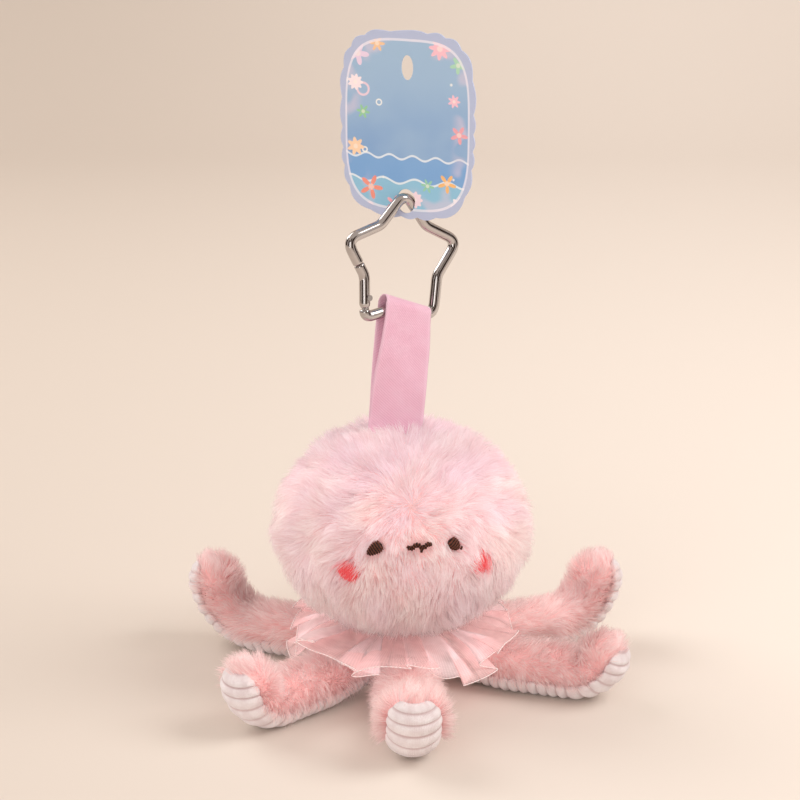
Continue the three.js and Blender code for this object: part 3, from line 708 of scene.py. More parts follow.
@dataclass(frozen=True)
class RibbonFinish(Finish):
    """A twill ribbon; the stored numbers are across and along it."""

    face: Shade
    shadow: Shade
    half_width: float

    def draw(self, graph: Graph) -> None:
        """Adds the nodes of the twill and its woven edges.

        Args:
            graph: the material's nodes.
        """
        lay, across, along, _ = graph.stored("lay")
        twill = graph.ripple(graph.math("MULTIPLY_ADD", across, 0.8, along), 0.95)
        picks = graph.ripple(across, 0.42)
        cloud = graph.noise(lay, 0.12)
        body = graph.mixed(graph.span(twill, 0.1, 0.9, 0.0, 0.62), self.face, self.shadow)
        body = graph.mixed(graph.span(cloud, 0.3, 0.75, 0.0, 0.3), body, Shade(238, 206, 222))
        aside = graph.math("ABSOLUTE", across)
        edge = graph.span(aside, self.half_width - 1.3, self.half_width - 0.7, 0.0, 0.5)
        body = graph.mixed(edge, body, Shade(234, 196, 214))
        graph.surface(Base_Color=body, Roughness=0.55, Sheen_Weight=0.4, Sheen_Roughness=0.35)
        graph.bump(graph.math("MULTIPLY_ADD", picks, 0.4, twill), 0.12, 0.8)


@dataclass(frozen=True)
class MetalFinish(Finish):
    """Polished or drawn metal with a fine uneven gloss."""

    face: Shade
    gloss: float
    wear_scale: float

    def draw(self, graph: Graph) -> None:
        """Adds the nodes of the metal and its rubbed patches.

        Args:
            graph: the material's nodes.
        """
        place = graph.place()
        rubbed = graph.noise(place, self.wear_scale, 4.0)
        fine = graph.noise(place, 9.0 * self.wear_scale)
        body = graph.mixed(graph.span(rubbed, 0.35, 0.75, 0.0, 0.3), self.face, Shade(176, 176, 180))
        gloss = graph.span(rubbed, 0.3, 0.75, self.gloss, self.gloss + 0.12)
        graph.surface(Base_Color=body, Metallic=1.0, Roughness=gloss)
        graph.bump(fine, 0.01, 0.25)


@dataclass(frozen=True)
class Wave:
    """A printed wave: its pitch, the height that it lies at, its own height and the water's tone below it."""

    pitch: float
    seat: float
    height: float
    tone: Shade


@dataclass(frozen=True)
class Bubbles:
    """Printed rings: the size of the cells that they lie in, their radius as a share of it and their tone."""

    cell: float
    radius: float
    tone: Shade


@dataclass(frozen=True)
class Rosette:
    """A printed starfish or flower: its place, size, count of arms, their depth, its turn and its tone."""

    x: float
    y: float
    size: float
    arms: float
    depth: float
    turn: float
    tone: Shade


WAVES = (
    Wave(9.0, -12.0, 1.6, Shade(120, 170, 222)),
    Wave(12.5, -21.0, 2.0, Shade(150, 205, 226)),
)
BUBBLES = (
    Bubbles(11.0, 0.23, Shade(250, 214, 226)),
    Bubbles(7.0, 0.17, Shade(252, 250, 244)),
)
ROSETTES = (
    Rosette(-14.0, -23.5, 4.6, 5.0, 0.42, 0.4, Shade(246, 150, 132)),
    Rosette(15.5, -20.0, 3.6, 5.0, 0.4, 1.3, Shade(250, 190, 120)),
    Rosette(3.0, -27.0, 3.2, 9.0, 0.12, 0.0, Shade(246, 222, 232)),
    Rosette(-17.0, 4.0, 2.6, 6.0, 0.3, 0.8, Shade(150, 206, 160)),
    Rosette(18.0, 10.0, 2.4, 7.0, 0.22, 0.2, Shade(248, 196, 210)),
    Rosette(-19.0, 25.0, 4.4, 5.0, 0.3, 0.5, Shade(238, 214, 236)),
    Rosette(-11.5, 29.0, 3.0, 6.0, 0.3, 0.1, Shade(250, 204, 160)),
    Rosette(12.5, 28.5, 4.2, 8.0, 0.2, 0.6, Shade(250, 196, 208)),
    Rosette(19.5, 23.0, 3.2, 5.0, 0.3, 1.9, Shade(176, 220, 190)),
    Rosette(-20.0, 14.5, 3.0, 9.0, 0.14, 0.0, Shade(252, 236, 240)),
    Rosette(20.0, -2.0, 3.4, 5.0, 0.34, 0.9, Shade(240, 168, 178)),
    Rosette(-20.0, -9.0, 3.4, 7.0, 0.2, 0.4, Shade(252, 214, 178)),
    Rosette(8.0, -21.5, 2.6, 6.0, 0.34, 1.0, Shade(150, 208, 178)),
    Rosette(-5.0, -29.0, 3.2, 5.0, 0.34, 0.2, Shade(250, 176, 186)),
    Rosette(20.5, -28.0, 3.6, 8.0, 0.16, 0.0, Shade(248, 240, 244)),
    Rosette(-21.5, -30.0, 3.4, 8.0, 0.2, 0.7, Shade(172, 214, 196)),
)


@dataclass(frozen=True)
class CardFinish(Finish):
    """Printed card: sky over a waved sea, with rings and rosettes; it reads the place on the card."""

    deep: Shade
    pale: Shade
    rim: Shade
    half: Size = (26.4, 34.4)
    squareness: float = 3.6

    def draw(self, graph: Graph) -> None:
        """Adds the nodes of the print and of the card's varnish.

        Args:
            graph: the material's nodes.
        """
        lay, across, up, _ = graph.stored("lay")
        inwards = self.inside_rim(graph, across, up)
        water = graph.mixed(graph.span(up, -30.0, 30.0), self.deep, self.pale)
        glow = graph.noise(lay, 0.05)
        cloud = graph.span(graph.noise(lay, 0.085, 1.0), 0.5, 0.62, 0.0, 0.6)
        water = graph.mixed(graph.span(glow, 0.35, 0.7, 0.0, 0.5), water, self.pale)
        for wave in WAVES:
            crest = graph.math("MULTIPLY_ADD", graph.ripple(across, wave.pitch), wave.height, wave.seat)
            below = graph.math("SUBTRACT", crest, up)
            foam = graph.math("SUBTRACT", graph.span(below, 0.0, 0.25), graph.span(below, 0.8, 1.0))
            water = graph.mixed(graph.span(below, 0.0, 0.25, 0.0, 0.75), water, wave.tone)
            water = graph.mixed(graph.math("MULTIPLY", foam, 0.8), water, Shade(240, 246, 250))
        edge = graph.math("MULTIPLY", cloud, graph.span(inwards, 10.0, 5.0))
        water = graph.mixed(edge, water, Shade(214, 204, 224))
        water = self.bubbles(graph, lay, water)
        water = self.rosettes(graph, across, up, water)
        line = graph.math("SUBTRACT", graph.span(inwards, 2.3, 2.5), graph.span(inwards, 3.0, 3.2))
        border = graph.span(inwards, 2.5, 2.3)
        body = graph.mixed(border, water, self.rim)
        body = graph.mixed(graph.math("MULTIPLY", line, 0.7), body, Shade(246, 240, 250))
        fibre = graph.noise(lay, 2.2, 4.0)
        graph.surface(Base_Color=body, Roughness=graph.span(fibre, 0.3, 0.7, 0.34, 0.5), Coat_Weight=0.15)
        graph.bump(fibre, 0.02, 0.4)

    def inside_rim(self, graph: Graph, across: Socket, up: Socket) -> Socket:
        """How far in from the card's rounded oblong outline a place is.

        Args:
            graph: the material's nodes.
            across: the place across the card.
            up: the place up the card.

        Returns:
            The distance in millimetres, negative in the lobes outside the oblong.
        """
        ways = zip((across, up), self.half)
        shares = [graph.math("DIVIDE", graph.math("ABSOLUTE", way), half) for way, half in ways]
        total = graph.math("ADD", *(graph.math("POWER", share, self.squareness) for share in shares))
        out = graph.math("POWER", total, 1.0 / self.squareness)
        return graph.math("MULTIPLY_ADD", out, -self.half[0], self.half[0])

    def bubbles(self, graph: Graph, lay: Socket, under: Socket) -> Socket:
        """Rings and dots of several tones over a colour.

        Args:
            graph: the material's nodes.
            lay: the place on the card.
            under: the colour below them.

        Returns:
            The colour with the bubbles on it.
        """
        for kind in BUBBLES:
            cells = graph.node("TexVoronoi", Vector=lay, Scale=1.0 / kind.cell, Randomness=0.75)
            apart = cells.outputs["Distance"]
            chosen = graph.node("SeparateColor", Color=cells.outputs["Color"]).outputs[0]
            disc = graph.span(apart, kind.radius + 0.03, kind.radius)
            ring = graph.math("SUBTRACT", disc, graph.span(apart, kind.radius - 0.04, kind.radius - 0.07))
            share = graph.math("MULTIPLY", ring, graph.span(chosen, 0.45, 0.5, 0.0, 0.85))
            under = graph.mixed(share, under, kind.tone)
        return under

    def rosettes(self, graph: Graph, across: Socket, up: Socket, under: Socket) -> Socket:
        """Plain starfish and flowers over a colour, each a rosette of its own count of arms.

        Args:
            graph: the material's nodes.
            across: the place across the card.
            up: the place up the card.
            under: the colour below them.

        Returns:
            The colour with the shapes on it.
        """
        for one in ROSETTES:
            dx, dy = graph.math("SUBTRACT", across, one.x), graph.math("SUBTRACT", up, one.y)
            squares = graph.math("ADD", graph.math("MULTIPLY", dx, dx), graph.math("MULTIPLY", dy, dy))
            apart = graph.math("SQRT", squares)
            spin = graph.math("MULTIPLY_ADD", graph.math("ARCTAN2", dy, dx), one.arms, one.turn)
            arms = graph.math("COSINE", spin)
            reach = graph.math("MULTIPLY_ADD", arms, one.depth * one.size, one.size * (1.0 - one.depth))
            inside = graph.span(graph.math("SUBTRACT", reach, apart), -0.15, 0.15)
            heart = graph.span(apart, 0.32 * one.size, 0.2 * one.size, 0.0, 0.5)
            under = graph.mixed(inside, under, graph.mixed(heart, one.tone, Shade(255, 246, 236)))
        return under


@dataclass(frozen=True)
class DarkCardFinish(Finish):
    """Dark matt card for the studio."""

    tone: Shade

    def draw(self, graph: Graph) -> None:
        """Adds the card's plain tone."""
        graph.surface(Base_Color=self.tone, Roughness=1.0, Specular_IOR_Level=0.0)


@dataclass(frozen=True)
class FloorFinish(Finish):
    """A matt sweep with painted shade towards its left side."""

    near: Shade
    far: Shade

    def draw(self, graph: Graph) -> None:
        """Adds the nodes of a colour with painted shade: darker towards the left (-X) and paler towards the
        right.

        Args:
            graph: the material's nodes.
        """
        place = graph.place()
        aside = graph.node("SeparateXYZ", Vector=place).outputs[0]
        # Painted shade: the far colour darkens the sweep towards -X, as if the lamps' light fell off there.
        body = graph.mixed(graph.span(aside, -0.35, 0.25), self.far, self.near)
        graph.surface(Base_Color=body, Roughness=0.95, Specular_IOR_Level=0.1)
        graph.bump(graph.noise(place, 160.0, 3.0), 0.05, 0.15)


BLUSH = Shade(246, 96, 102)
# Pile tones: root, tip, flush and blush; the darker root and the paler tip are painted shade and highlight.
HEAD_TONES = (Shade(252, 231, 231), Shade(253, 250, 249), Shade(250, 238, 244), BLUSH)
# The limbs' third colour is a painted highlight, paler than the tip, laid on fibres that face up.
LIMB_TONES = (Shade(255, 218, 216), Shade(255, 243, 241), Shade(255, 251, 251), BLUSH)
CARD_TONES = (Shade(114, 156, 208), Shade(162, 192, 220), Shade(184, 194, 222))
HEAD_PILE = PileFinish("head_pile", "head_plush", *HEAD_TONES)
LIMB_PILE = PileFinish("limb_pile", "limb_plush", *LIMB_TONES)
# Painted shade: the knitted grounds under the pile are a deeper pink than the pile, so the gaps between
# fibres look deep.
HEAD_KNIT = KnitFinish("head_knit", "head_plush", Shade(250, 212, 212), Shade(242, 194, 194))
LIMB_KNIT = KnitFinish("limb_knit", "limb_plush", Shade(252, 216, 214), Shade(248, 202, 200))
BASE_KNIT = KnitFinish("base_knit", "base_cloth", Shade(240, 216, 214), Shade(222, 192, 190))
CORDUROY = CorduroyFinish("corduroy_pile", "corduroy", Shade(242, 234, 236), Shade(206, 180, 182))
ORGANZA = OrganzaFinish("organza_weave", "organza", Shade(255, 240, 242), Shade(255, 226, 226), 0.26)
HEM = HemFinish("organza_hem", "organza", Shade(255, 248, 248), Shade(254, 226, 224))
BROWN = ThreadFinish("brown_stitches", "brown_thread", Shade(104, 56, 40), Shade(20, 9, 7), 0.6)
CORAL = ThreadFinish("coral_stitches", "coral_thread", Shade(246, 112, 116), Shade(232, 92, 98), 0.8)
RIBBON = RibbonFinish("ribbon_twill", "ribbon", Shade(234, 186, 206), Shade(216, 158, 184), 10.0)
CHROME = MetalFinish("chromed_wire", "chromed_wire", Shade(196, 190, 187), 0.06, 130.0)
STEEL = MetalFinish("spring_steel", "spring_steel", Shade(190, 192, 196), 0.24, 900.0)
CARD = CardFinish("printed_card", "printed_card", *CARD_TONES)
DARK_CARD = DarkCardFinish("dark_card", "stage", Shade(60, 46, 38))
FLOOR = FloorFinish("floor", "floor", Shade(230, 221, 212), Shade(205, 194, 183))


# Pile

class Fibre(Enum):
    """The pile's two kinds of fibre: guard fibres shade what is below them, and down lets light in."""

    GUARD = "guard_pile"
    DOWN = "down_pile"


# The share of the fibres that are guard fibres
GUARD_SHARE = 0.1


@dataclass
class Roots(Rows):
    """Places on a skin where fibres stand, with the skin's normal and run there."""

    place: Array
    normal: Array
    along: Array


@dataclass
class Fibres(Rows):
    """Grown fibres: middle lines, side directions, a chance value each and the skin's normals."""

    line: Array
    side: Array
    chance: Array
    normal: Array


def scatter(points: Array, density: float, rng: np.random.Generator, wraps: bool = False) -> Roots:
    """Roots spread evenly over a grid of points.

    Args:
        points: points by row and column.
        density: roots for each square millimetre.
        rng: the source of chance.
        wraps: whether the last column joins the first.

    Returns:
        The roots.
    """
    normals = grid_normals(points, wraps)
    if wraps:
        points = np.concatenate([points, points[:, :1]], axis=1)
        normals = np.concatenate([normals, normals[:, :1]], axis=1)
    down = points[1:, :-1] - points[:-1, :-1]
    over = points[:-1, 1:] - points[:-1, :-1]
    area = np.linalg.norm(np.cross(down, over), axis=-1)
    count = int(area.sum() * density)
    cell = rng.choice(area.size, size=count, p=area.ravel() / area.sum())
    i, j = np.divmod(cell, area.shape[1])
    u, v = rng.random((2, count, 1))

    def between(grid: Array) -> Array:
        """A grid's value at each root."""
        upper = lerp(grid[i, j], grid[i, j + 1], v)
        return lerp(upper, lerp(grid[i + 1, j], grid[i + 1, j + 1], v), u)

    return Roots(between(points), unit(between(normals)), unit(down[i, j]))


@dataclass(frozen=True)
class Pile:
    """How fibres grow: their size, how they gather into tufts and how they are drawn."""

    width: float
    segments: int
    tuft_size: float
    tuft_pull: float
    stray: float
    seed: int
    tip_width: float = 0.25
    upright: float = 0.62

    def tufts(self, place: Array, rng: np.random.Generator) -> Array:
        """Gathers the fibres into tufts.

        Args:
            place: the fibres' roots.
            rng: the source of chance.

        Returns:
            For each fibre the number of its tuft's middle one.
        """
        count = max(8, int(len(place) / max(1.0, self.tuft_size)))
        middles = rng.choice(len(place), size=count, replace=False)
        tree = KDTree(count)
        for k, number in enumerate(middles):
            tree.insert(place[number], k)
        tree.balance()
        nearest = np.fromiter((tree.find(p)[1] for p in place), dtype=int, count=len(place))
        return middles[nearest]

    def grow(self, roots: Roots, start: Array, finish: Array, lengths: Array) -> Fibres:
        """Grows the fibres.

        Args:
            roots: where they stand.
            start: their directions at the root.
            finish: their directions at the tip.
            lengths: their lengths.

        Returns:
            The fibres.
        """
        rng = np.random.default_rng(self.seed)
        count = len(lengths)
        start = unit(start + rng.normal(scale=self.stray, size=(count, 3)))
        finish = unit(finish + rng.normal(scale=self.stray, size=(count, 3)))
        steps = np.linspace(0.0, 1.0, self.segments + 1)
        turn = (steps**2 / 2)[None, :, None]
        reach = start[:, None] * (steps[None, :, None] - turn) + finish[:, None] * turn
        lines = roots.place[:, None] + lengths[:, None, None] * reach
        leader = self.tufts(roots.place, rng)
        pull = self.tuft_pull * rng.uniform(0.3, 1.0, count)[:, None] * (steps**1.6)[None]
        lines += (lines[leader] - lines) * pull[:, :, None]
        chance = 0.6 * rng.random(count) + 0.4 * rng.random(count)[leader]
        across = roots.normal + rng.normal(scale=0.35, size=(count, 3))
        return Fibres(lines, unit(np.cross(lines[:, -1] - lines[:, 0], across)), chance, roots.normal)

    def draw(self, name: str, grown: Fibres, flush: Array, fibre: Fibre, finish: Finish) -> Piece:
        """A mesh of tapering fibres.

        Args:
            name: the piece's name.
            grown: the fibres.
            flush: the share of the flush colour for each fibre.
            fibre: their kind.
            finish: their finish.

        Returns:
            The new object.
        """
        lines, side = grown.line, grown.side
        count, steps = lines.shape[:2]
        taper = self.width * (1.0 - (1.0 - self.tip_width) * np.linspace(0.0, 1.0, steps)[:-1] ** 1.5) / 2.0
        offset = side[:, None] * taper[None, :, None]
        pairs = np.stack([lines[:, :-1] - offset, lines[:, :-1] + offset], axis=2).reshape(count, -1, 3)
        points = np.concatenate([pairs, lines[:, -1:]], axis=1)
        each = points.shape[1]
        base = (np.arange(count) * each)[:, None]
        quads = [base + np.array([[2 * k, 2 * k + 1, 2 * k + 3, 2 * k + 2]]) for k in range(steps - 2)]
        tris = base + np.array([[each - 3, each - 2, each - 1]])
        facing = np.cross(side, lines[:, -1] - lines[:, 0])
        flip = (facing * grown.normal).sum(-1) < 0
        facing = unit(facing) * np.where(flip, -1.0, 1.0)[:, None]
        quads = np.stack(quads, axis=1)
        quads[flip] = quads[flip][:, :, ::-1]
        tris[flip] = tris[flip][:, ::-1]
        piece = make_object(name, points.reshape(-1, 3), quads.reshape(-1, 4), tris)
        along = np.concatenate([np.repeat(np.linspace(0.0, 1.0, steps)[:-1], 2), [1.0]])
        paint(piece, "pile", along[None], grown.chance[:, None], flush[:, None])
        soft = unit(grown.normal * self.upright + facing * (1.0 - self.upright))
        piece.data.normals_split_custom_set_from_vertices(np.repeat(soft, each, axis=0).tolist())
        piece.visible_shadow = fibre is Fibre.GUARD
        finish.wear(piece)
        return piece


# Head

@dataclass(frozen=True)
class Spot:
    """A place on the face with its own axes."""

    place: Array
    normal: Array
    across: Array
    up: Array


@dataclass(frozen=True)
class Clearing:
    """An oval of the face that the pile is kept off, with its tilt, the share that stays and its depth."""

    spot: Spot
    half_width: float
    half_height: float
    tilt: float = 0.0
    stays: float = 0.0
    depth: float = 12.0

    def holds(self, lines: Array) -> Array:
        """Whether each fibre has a point near the oval.

        Args:
            lines: points by fibre and step.

        Returns:
            One answer for each fibre.
        """
        offset = lines - self.spot.place
        x, y = turned(offset @ self.spot.across, offset @ self.spot.up, -self.tilt)
        within = (x / self.half_width) ** 2 + (y / self.half_height) ** 2 < 1.0
        return ((np.abs(offset @ self.spot.normal) < self.depth) & within).any(axis=1)


@dataclass(frozen=True)
class FaceMark:
    """One stitched mark of the face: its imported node, place, sizes and thread.

    point is how far one end is drawn to a point, and dye how deeply the pile over it is dyed.
    """

    node: str
    angle: float
    rise: float
    half: Size
    padding: float
    tilt: float = 0.0
    thread: float = 0.85
    point: float = 0.0
    dye: float = 0.0


FACE = {
    "left_eye": FaceMark("eye_left", -19.2, 6.7, (3.2, 1.95), 1.3, 38.0, point=-0.22),
    "right_eye": FaceMark("eye_right", 17.8, 7.2, (2.45, 1.95), 1.3, -48.0, point=0.12),
    "left_cheek": FaceMark("cheek_left", -32.6, -3.1, (3.9, 3.7), 0.4, dye=1.0),
    "right_cheek": FaceMark("cheek_right", 32.2, -2.2, (3.6, 3.9), 0.4, dye=0.85),
}
MOUTH = FaceMark("mouth", 1.0, 7.8, (4.3, 0.55), 1.2)


@dataclass
class Head:
    """The stuffed head and neck, its pile, its stitched face and the base patch."""

    half: Size3 = (44.0, 42.0, 35.0)
    centre_z: float = 59.437
    neck_radius: float = 18.0
    shoulder_z: float = 24.5
    bottom_z: float = 1.8
    ground: float = 0.8
    head_rings: int = 64
    face_turn: float = 7.0
    clearance: float = 0.3
    pile_length: float = 10.5
    parting_rise: float = 19.5
    density: float = 4.6
    pile: Pile = Pile(0.25, 4, 30.0, 0.55, 0.17, 11)

    @property
    def centre(self) -> Array:
        """The middle of the head."""
        return np.array([0.0, 0.0, self.centre_z])

    def on_head(self, near: Array, lift: float | Array = 0.0) -> tuple[Array, Array]:
        """The places on the head's outer face nearest to points, and the normals there.

        Args:
            near: points.
            lift: how far the places stand off the face.

        Returns:
            The places and the unit normals.
        """
        radii = np.array(self.half)
        ray = near - self.centre
        surface = ray / np.linalg.norm(ray / radii, axis=-1, keepdims=True)
        normal = unit(surface / radii**2)
        return surface + self.centre + normal * np.asarray(lift)[..., None], normal

    def face_spot(self, angle: float, rise: float) -> Spot:
        """A place on the face.

        Args:
            angle: its bearing from the face's middle, to the right.
            rise: its height above the head's middle.

        Returns:
            The place and its axes.
        """
        share = math.sqrt(1.0 - (rise / self.half[2]) ** 2)
        turn = math.radians(self.face_turn + angle)
        start = np.array([
            self.half[0] * share * math.sin(turn),
            -self.half[1] * share * math.cos(turn),
            self.centre_z + rise,
        ])
        place, normal = self.on_head(start)
        across = unit(np.cross(UP, normal))
        return Spot(place, normal, across, np.cross(normal, across))

    def spot(self, mark: FaceMark) -> Spot:
        """A mark's place on the face."""
        return self.face_spot(mark.angle, mark.rise)

    def skin(self) -> Array:
        """The ground of the head's and neck's pile as rings of points, from the crown down.

        Returns:
            The points by ring and column.
        """
        neck_angle = math.pi - math.asin(self.neck_radius / self.half[0])
        slopes = np.linspace(0.03, neck_angle, self.head_rings)
        turns = ring_turns(96)
        a, b, c = (h - self.ground for h in self.half)
        x = a * np.sin(slopes)[:, None] * np.cos(turns)
        y = b * np.sin(slopes)[:, None] * np.sin(turns)
        z = np.broadcast_to((self.centre_z + c * np.cos(slopes))[:, None], x.shape)
        ball = np.stack([x, y, z], axis=-1)
        heights = np.linspace(self.shoulder_z, self.bottom_z, 10)
        radius = self.neck_radius - self.ground
        ring = radius * np.cos(turns)[None], radius * np.sin(turns)[None]
        neck = np.stack(np.broadcast_arrays(*ring, heights[:, None]), axis=-1)
        return np.concatenate([ball, neck])

    def build(self) -> None:
        """Makes the head's pieces and dresses them."""
        rings = self.skin()
        lumps = 0.35 * Wander(17.0, 3).at(rings)
        rings = rings + grid_normals(rings, True) * lumps[..., None]
        body = closed_skin("head_body", rings, rings[0].mean(0) + 0.1 * UP, rings[-1].mean(0))
        HEAD_KNIT.wear(body)
        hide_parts("head_front_panel", "head_back_panel", "head_filling")
        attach(body, "head")
        self.build_face()
        self.build_pile(rings)
        self.build_base()

    def build_base(self) -> None:
        """Makes the patch that closes the neck underneath: a disc with a turned edge."""
        profile = [
            (0.5, 0.25), (14.5, 0.2), (16.2, 0.0), (17.3, 0.1), (17.9, 0.6),
            (17.8, 1.2), (17.0, 1.5), (14.0, 1.35), (0.5, 1.35),
        ]
        turns = ring_turns(64)
        rings = np.array([[(r * math.cos(t), r * math.sin(t), z) for t in turns] for r, z in profile])[::-1]
        patch = closed_skin("base_cloth_patch", rings, np.array([0, 0, 1.35]), np.array([0, 0, 0.25]))
        BASE_KNIT.wear(patch)
        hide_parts("base_patch")
        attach(patch, "head")

    def stitched(self, name: str, mark: FaceMark, finish: Finish) -> None:
        """Makes an oval of close stitches that stands on the pile's ground.

        Args:
            name: the piece's name.
            mark: its place and sizes.
            finish: its thread.
        """
        half, spot = mark.half, self.spot(mark)
        rings, columns, thread = 26, 120, mark.thread
        share = np.linspace(0.02, 1.0, rings)[:, None]
        turn = ring_turns(columns)[None]
        flat_x = half[0] * share * (np.cos(turn) + mark.point * np.cos(turn) ** 2)
        flat_y = half[1] * share * np.sin(turn) * (1.0 - mark.point * np.cos(turn))
        flat_y = flat_y + 0.34 * np.sin(ROUND * flat_x / thread) * share**8 * np.sign(np.sin(turn))
        x, y = turned(flat_x, flat_y, math.radians(mark.tilt))
        near = spot.place + x[..., None] * spot.across + y[..., None] * spot.up
        ridge = 0.2 * np.abs(np.sin(math.pi * flat_x / thread))
        ridge = ridge + 0.12 * Wander(1.1, 17).at(np.stack([x, y], -1))
        crown = 0.6 + mark.padding * np.sqrt(np.clip(1.0 - share**2.4, 0.0, 1.0)) + ridge
        outer, inner = (self.on_head(near, self.clearance + lift)[0] for lift in (crown, 0.0 * crown))
        piece = thick_patch(name, outer[::-1], inner[::-1], wraps=True)
        paint(piece, "lay", flat_x[::-1], flat_y[::-1], 0.0, faces=2)
        finish.wear(piece)
        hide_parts(mark.node)
        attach(piece, "head")

    def build_face(self) -> None:
        """Makes the eyes, the cheeks and the mouth."""
        for name, mark in FACE.items():
            self.stitched(f"{name}_stitches", mark, CORAL if mark.dye else BROWN)
        line = self.mouth_line()
        steps = np.linspace(0.0, 1.0, len(line))
        plump = 0.82 + 0.18 * np.sin(ROUND * steps * 13.0 + 0.8 * np.sin(31.0 * steps))
        ends = np.clip(7.0 * np.minimum(steps, 1.0 - steps) + 0.5, 0.0, 1.0)
        mouth = self.thread_line("mouth_stitches", line, plump * ends)
        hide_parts("mouth")
        drop = line[46] + np.linspace(0.3, -1.9, 17)[:, None] * self.spot(MOUTH).up
        swell = 0.72 + 0.1 * np.sin(np.linspace(0.0, 19.0, 17))
        self.thread_line("mouth_drop_stitches", drop, swell * np.sqrt(np.linspace(1.0, 0.3, 17)))
        spot = self.spot(FACE["right_eye"])
        out, up = 2.5 * spot.across - 1.75 * spot.up, 0.4 * spot.across + 0.8 * spot.up
        near = spot.place + out + np.linspace(-0.7, 0.7, 13)[:, None] * up
        loose, _ = self.on_head(near, self.clearance + 1.2)
        self.thread_line("right_eye_loose_stitches", loose, 0.42 + 0.08 * np.sin(np.arange(13.0)))

    def thread_line(self, name: str, line: Array, radii: Array) -> Piece:
        """Makes a line of brown satin stitches.

        Args:
            name: the piece's name.
            line: points of its middle line.
            radii: its radius at each point.

        Returns:
            The new object.
        """
        sides = 14
        piece = tube(name, line, radii, sides)
        paint_tube(piece, np.arange(len(line)) * 0.13, 3.9, sides)
        BROWN.wear(piece)
        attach(piece, "head")
        return piece

    def mouth_line(self) -> Array:
        """The mouth's middle line: a wavering line with its right end up.

        Returns:
            The points.
        """
        spot = self.spot(MOUTH)
        share = np.linspace(-1.0, 1.0, 81)
        rise = MOUTH.half[1] * np.sin(6.6 * share + 2.9) + 0.12 * share**3 - 0.25
        near = spot.place + (MOUTH.half[0] * share)[:, None] * spot.across + rise[:, None] * spot.up
        return self.on_head(near, self.clearance + 1.3)[0]

    def clearings(self) -> list[Clearing]:
        """The ovals of the face that the pile is kept off.

        Returns:
            The ovals of the eyes, the mouth and its drop.
        """
        found = []
        for eye in (mark for mark in FACE.values() if not mark.dye):
            width, height = (half + 0.15 for half in eye.half)
            found.append(Clearing(self.spot(eye), width, height, math.radians(eye.tilt)))
        line = self.face_spot(MOUTH.angle, MOUTH.rise - 0.2)
        drop = self.face_spot(MOUTH.angle + 0.9, MOUTH.rise - 1.6)
        return [*found, Clearing(line, MOUTH.half[0] + 0.3, 1.3, stays=0.02), Clearing(drop, 1.0, 1.4)]

    def comb(self, roots: Roots) -> tuple[Array, Array, Array]:
        """How the pile is combed: fanned out from the face, upright on the crown and hanging low down.

        Args:
            roots: where the fibres stand.

        Returns:
            The directions at the root and at the tip, and the share of full length.
        """
        away = roots.place - self.face_spot(-1.0, self.parting_rise).place
        apart = np.linalg.norm(roots.place - self.face_spot(0.0, 4.0).place, axis=1)
        height = (roots.place[:, 2] - self.centre_z) / self.half[2]
        front = smooth((85.0 - apart) / 45.0)
        fan = unit(away - (away * roots.normal).sum(1, keepdims=True) * roots.normal)
        hang = unit(-UP - (roots.normal @ -UP)[:, None] * roots.normal)
        lower = smooth((0.1 - height) / 0.5)
        down = 0.2 + 0.9 * lower + 0.6 * (1.0 - front)
        comb = unit(fan * (front * (1.0 - 0.6 * lower))[:, None] + hang * down[:, None])
        swirl = np.cross(roots.normal, comb)
        drift = 0.75 * Wander(26.0, 5).at(roots.place) + 0.45 * Wander(9.0, 8).at(roots.place)
        comb = unit(comb + swirl * drift[:, None])
        crown = smooth((height - 0.55) / 0.35)
        lift = 0.75 + 0.75 * crown - 0.2 * lower + 0.3 * Wander(7.0, 21).at(roots.place)
        start = unit(roots.normal * (lift + 0.35)[:, None] + comb * 0.6)
        sag = 0.2 + 0.5 * lower - 0.2 * crown
        finish = unit(roots.normal * (0.28 + 0.8 * crown)[:, None] + comb - UP * sag[:, None])
        trim = 0.5 + 0.5 * smooth((apart - 9.0) / 22.0)
        longer = 1.0 - 0.04 * lower - 0.12 * crown
        return start, finish, trim * longer

    def from_cheeks(self, places: Array) -> Array:
        """How far points lie from the nearest cheek's middle, 1 at its ragged edge.

        Args:
            places: the points.

        Returns:
            One distance for each point.
        """
        found = np.full(len(places), 9.0)
        for mark in FACE.values():
            if mark.dye:
                spot = self.spot(mark)
                offset = places - spot.place
                apart = np.hypot((offset @ spot.across) / mark.half[0], (offset @ spot.up) / mark.half[1])
                apart += 1.6 * (1.0 - mark.dye)
                found = np.minimum(found, apart + 0.14 * Wander(1.7, 37).at(places))
        return np.where(places[:, 1] < 0.0, found, 9.0)

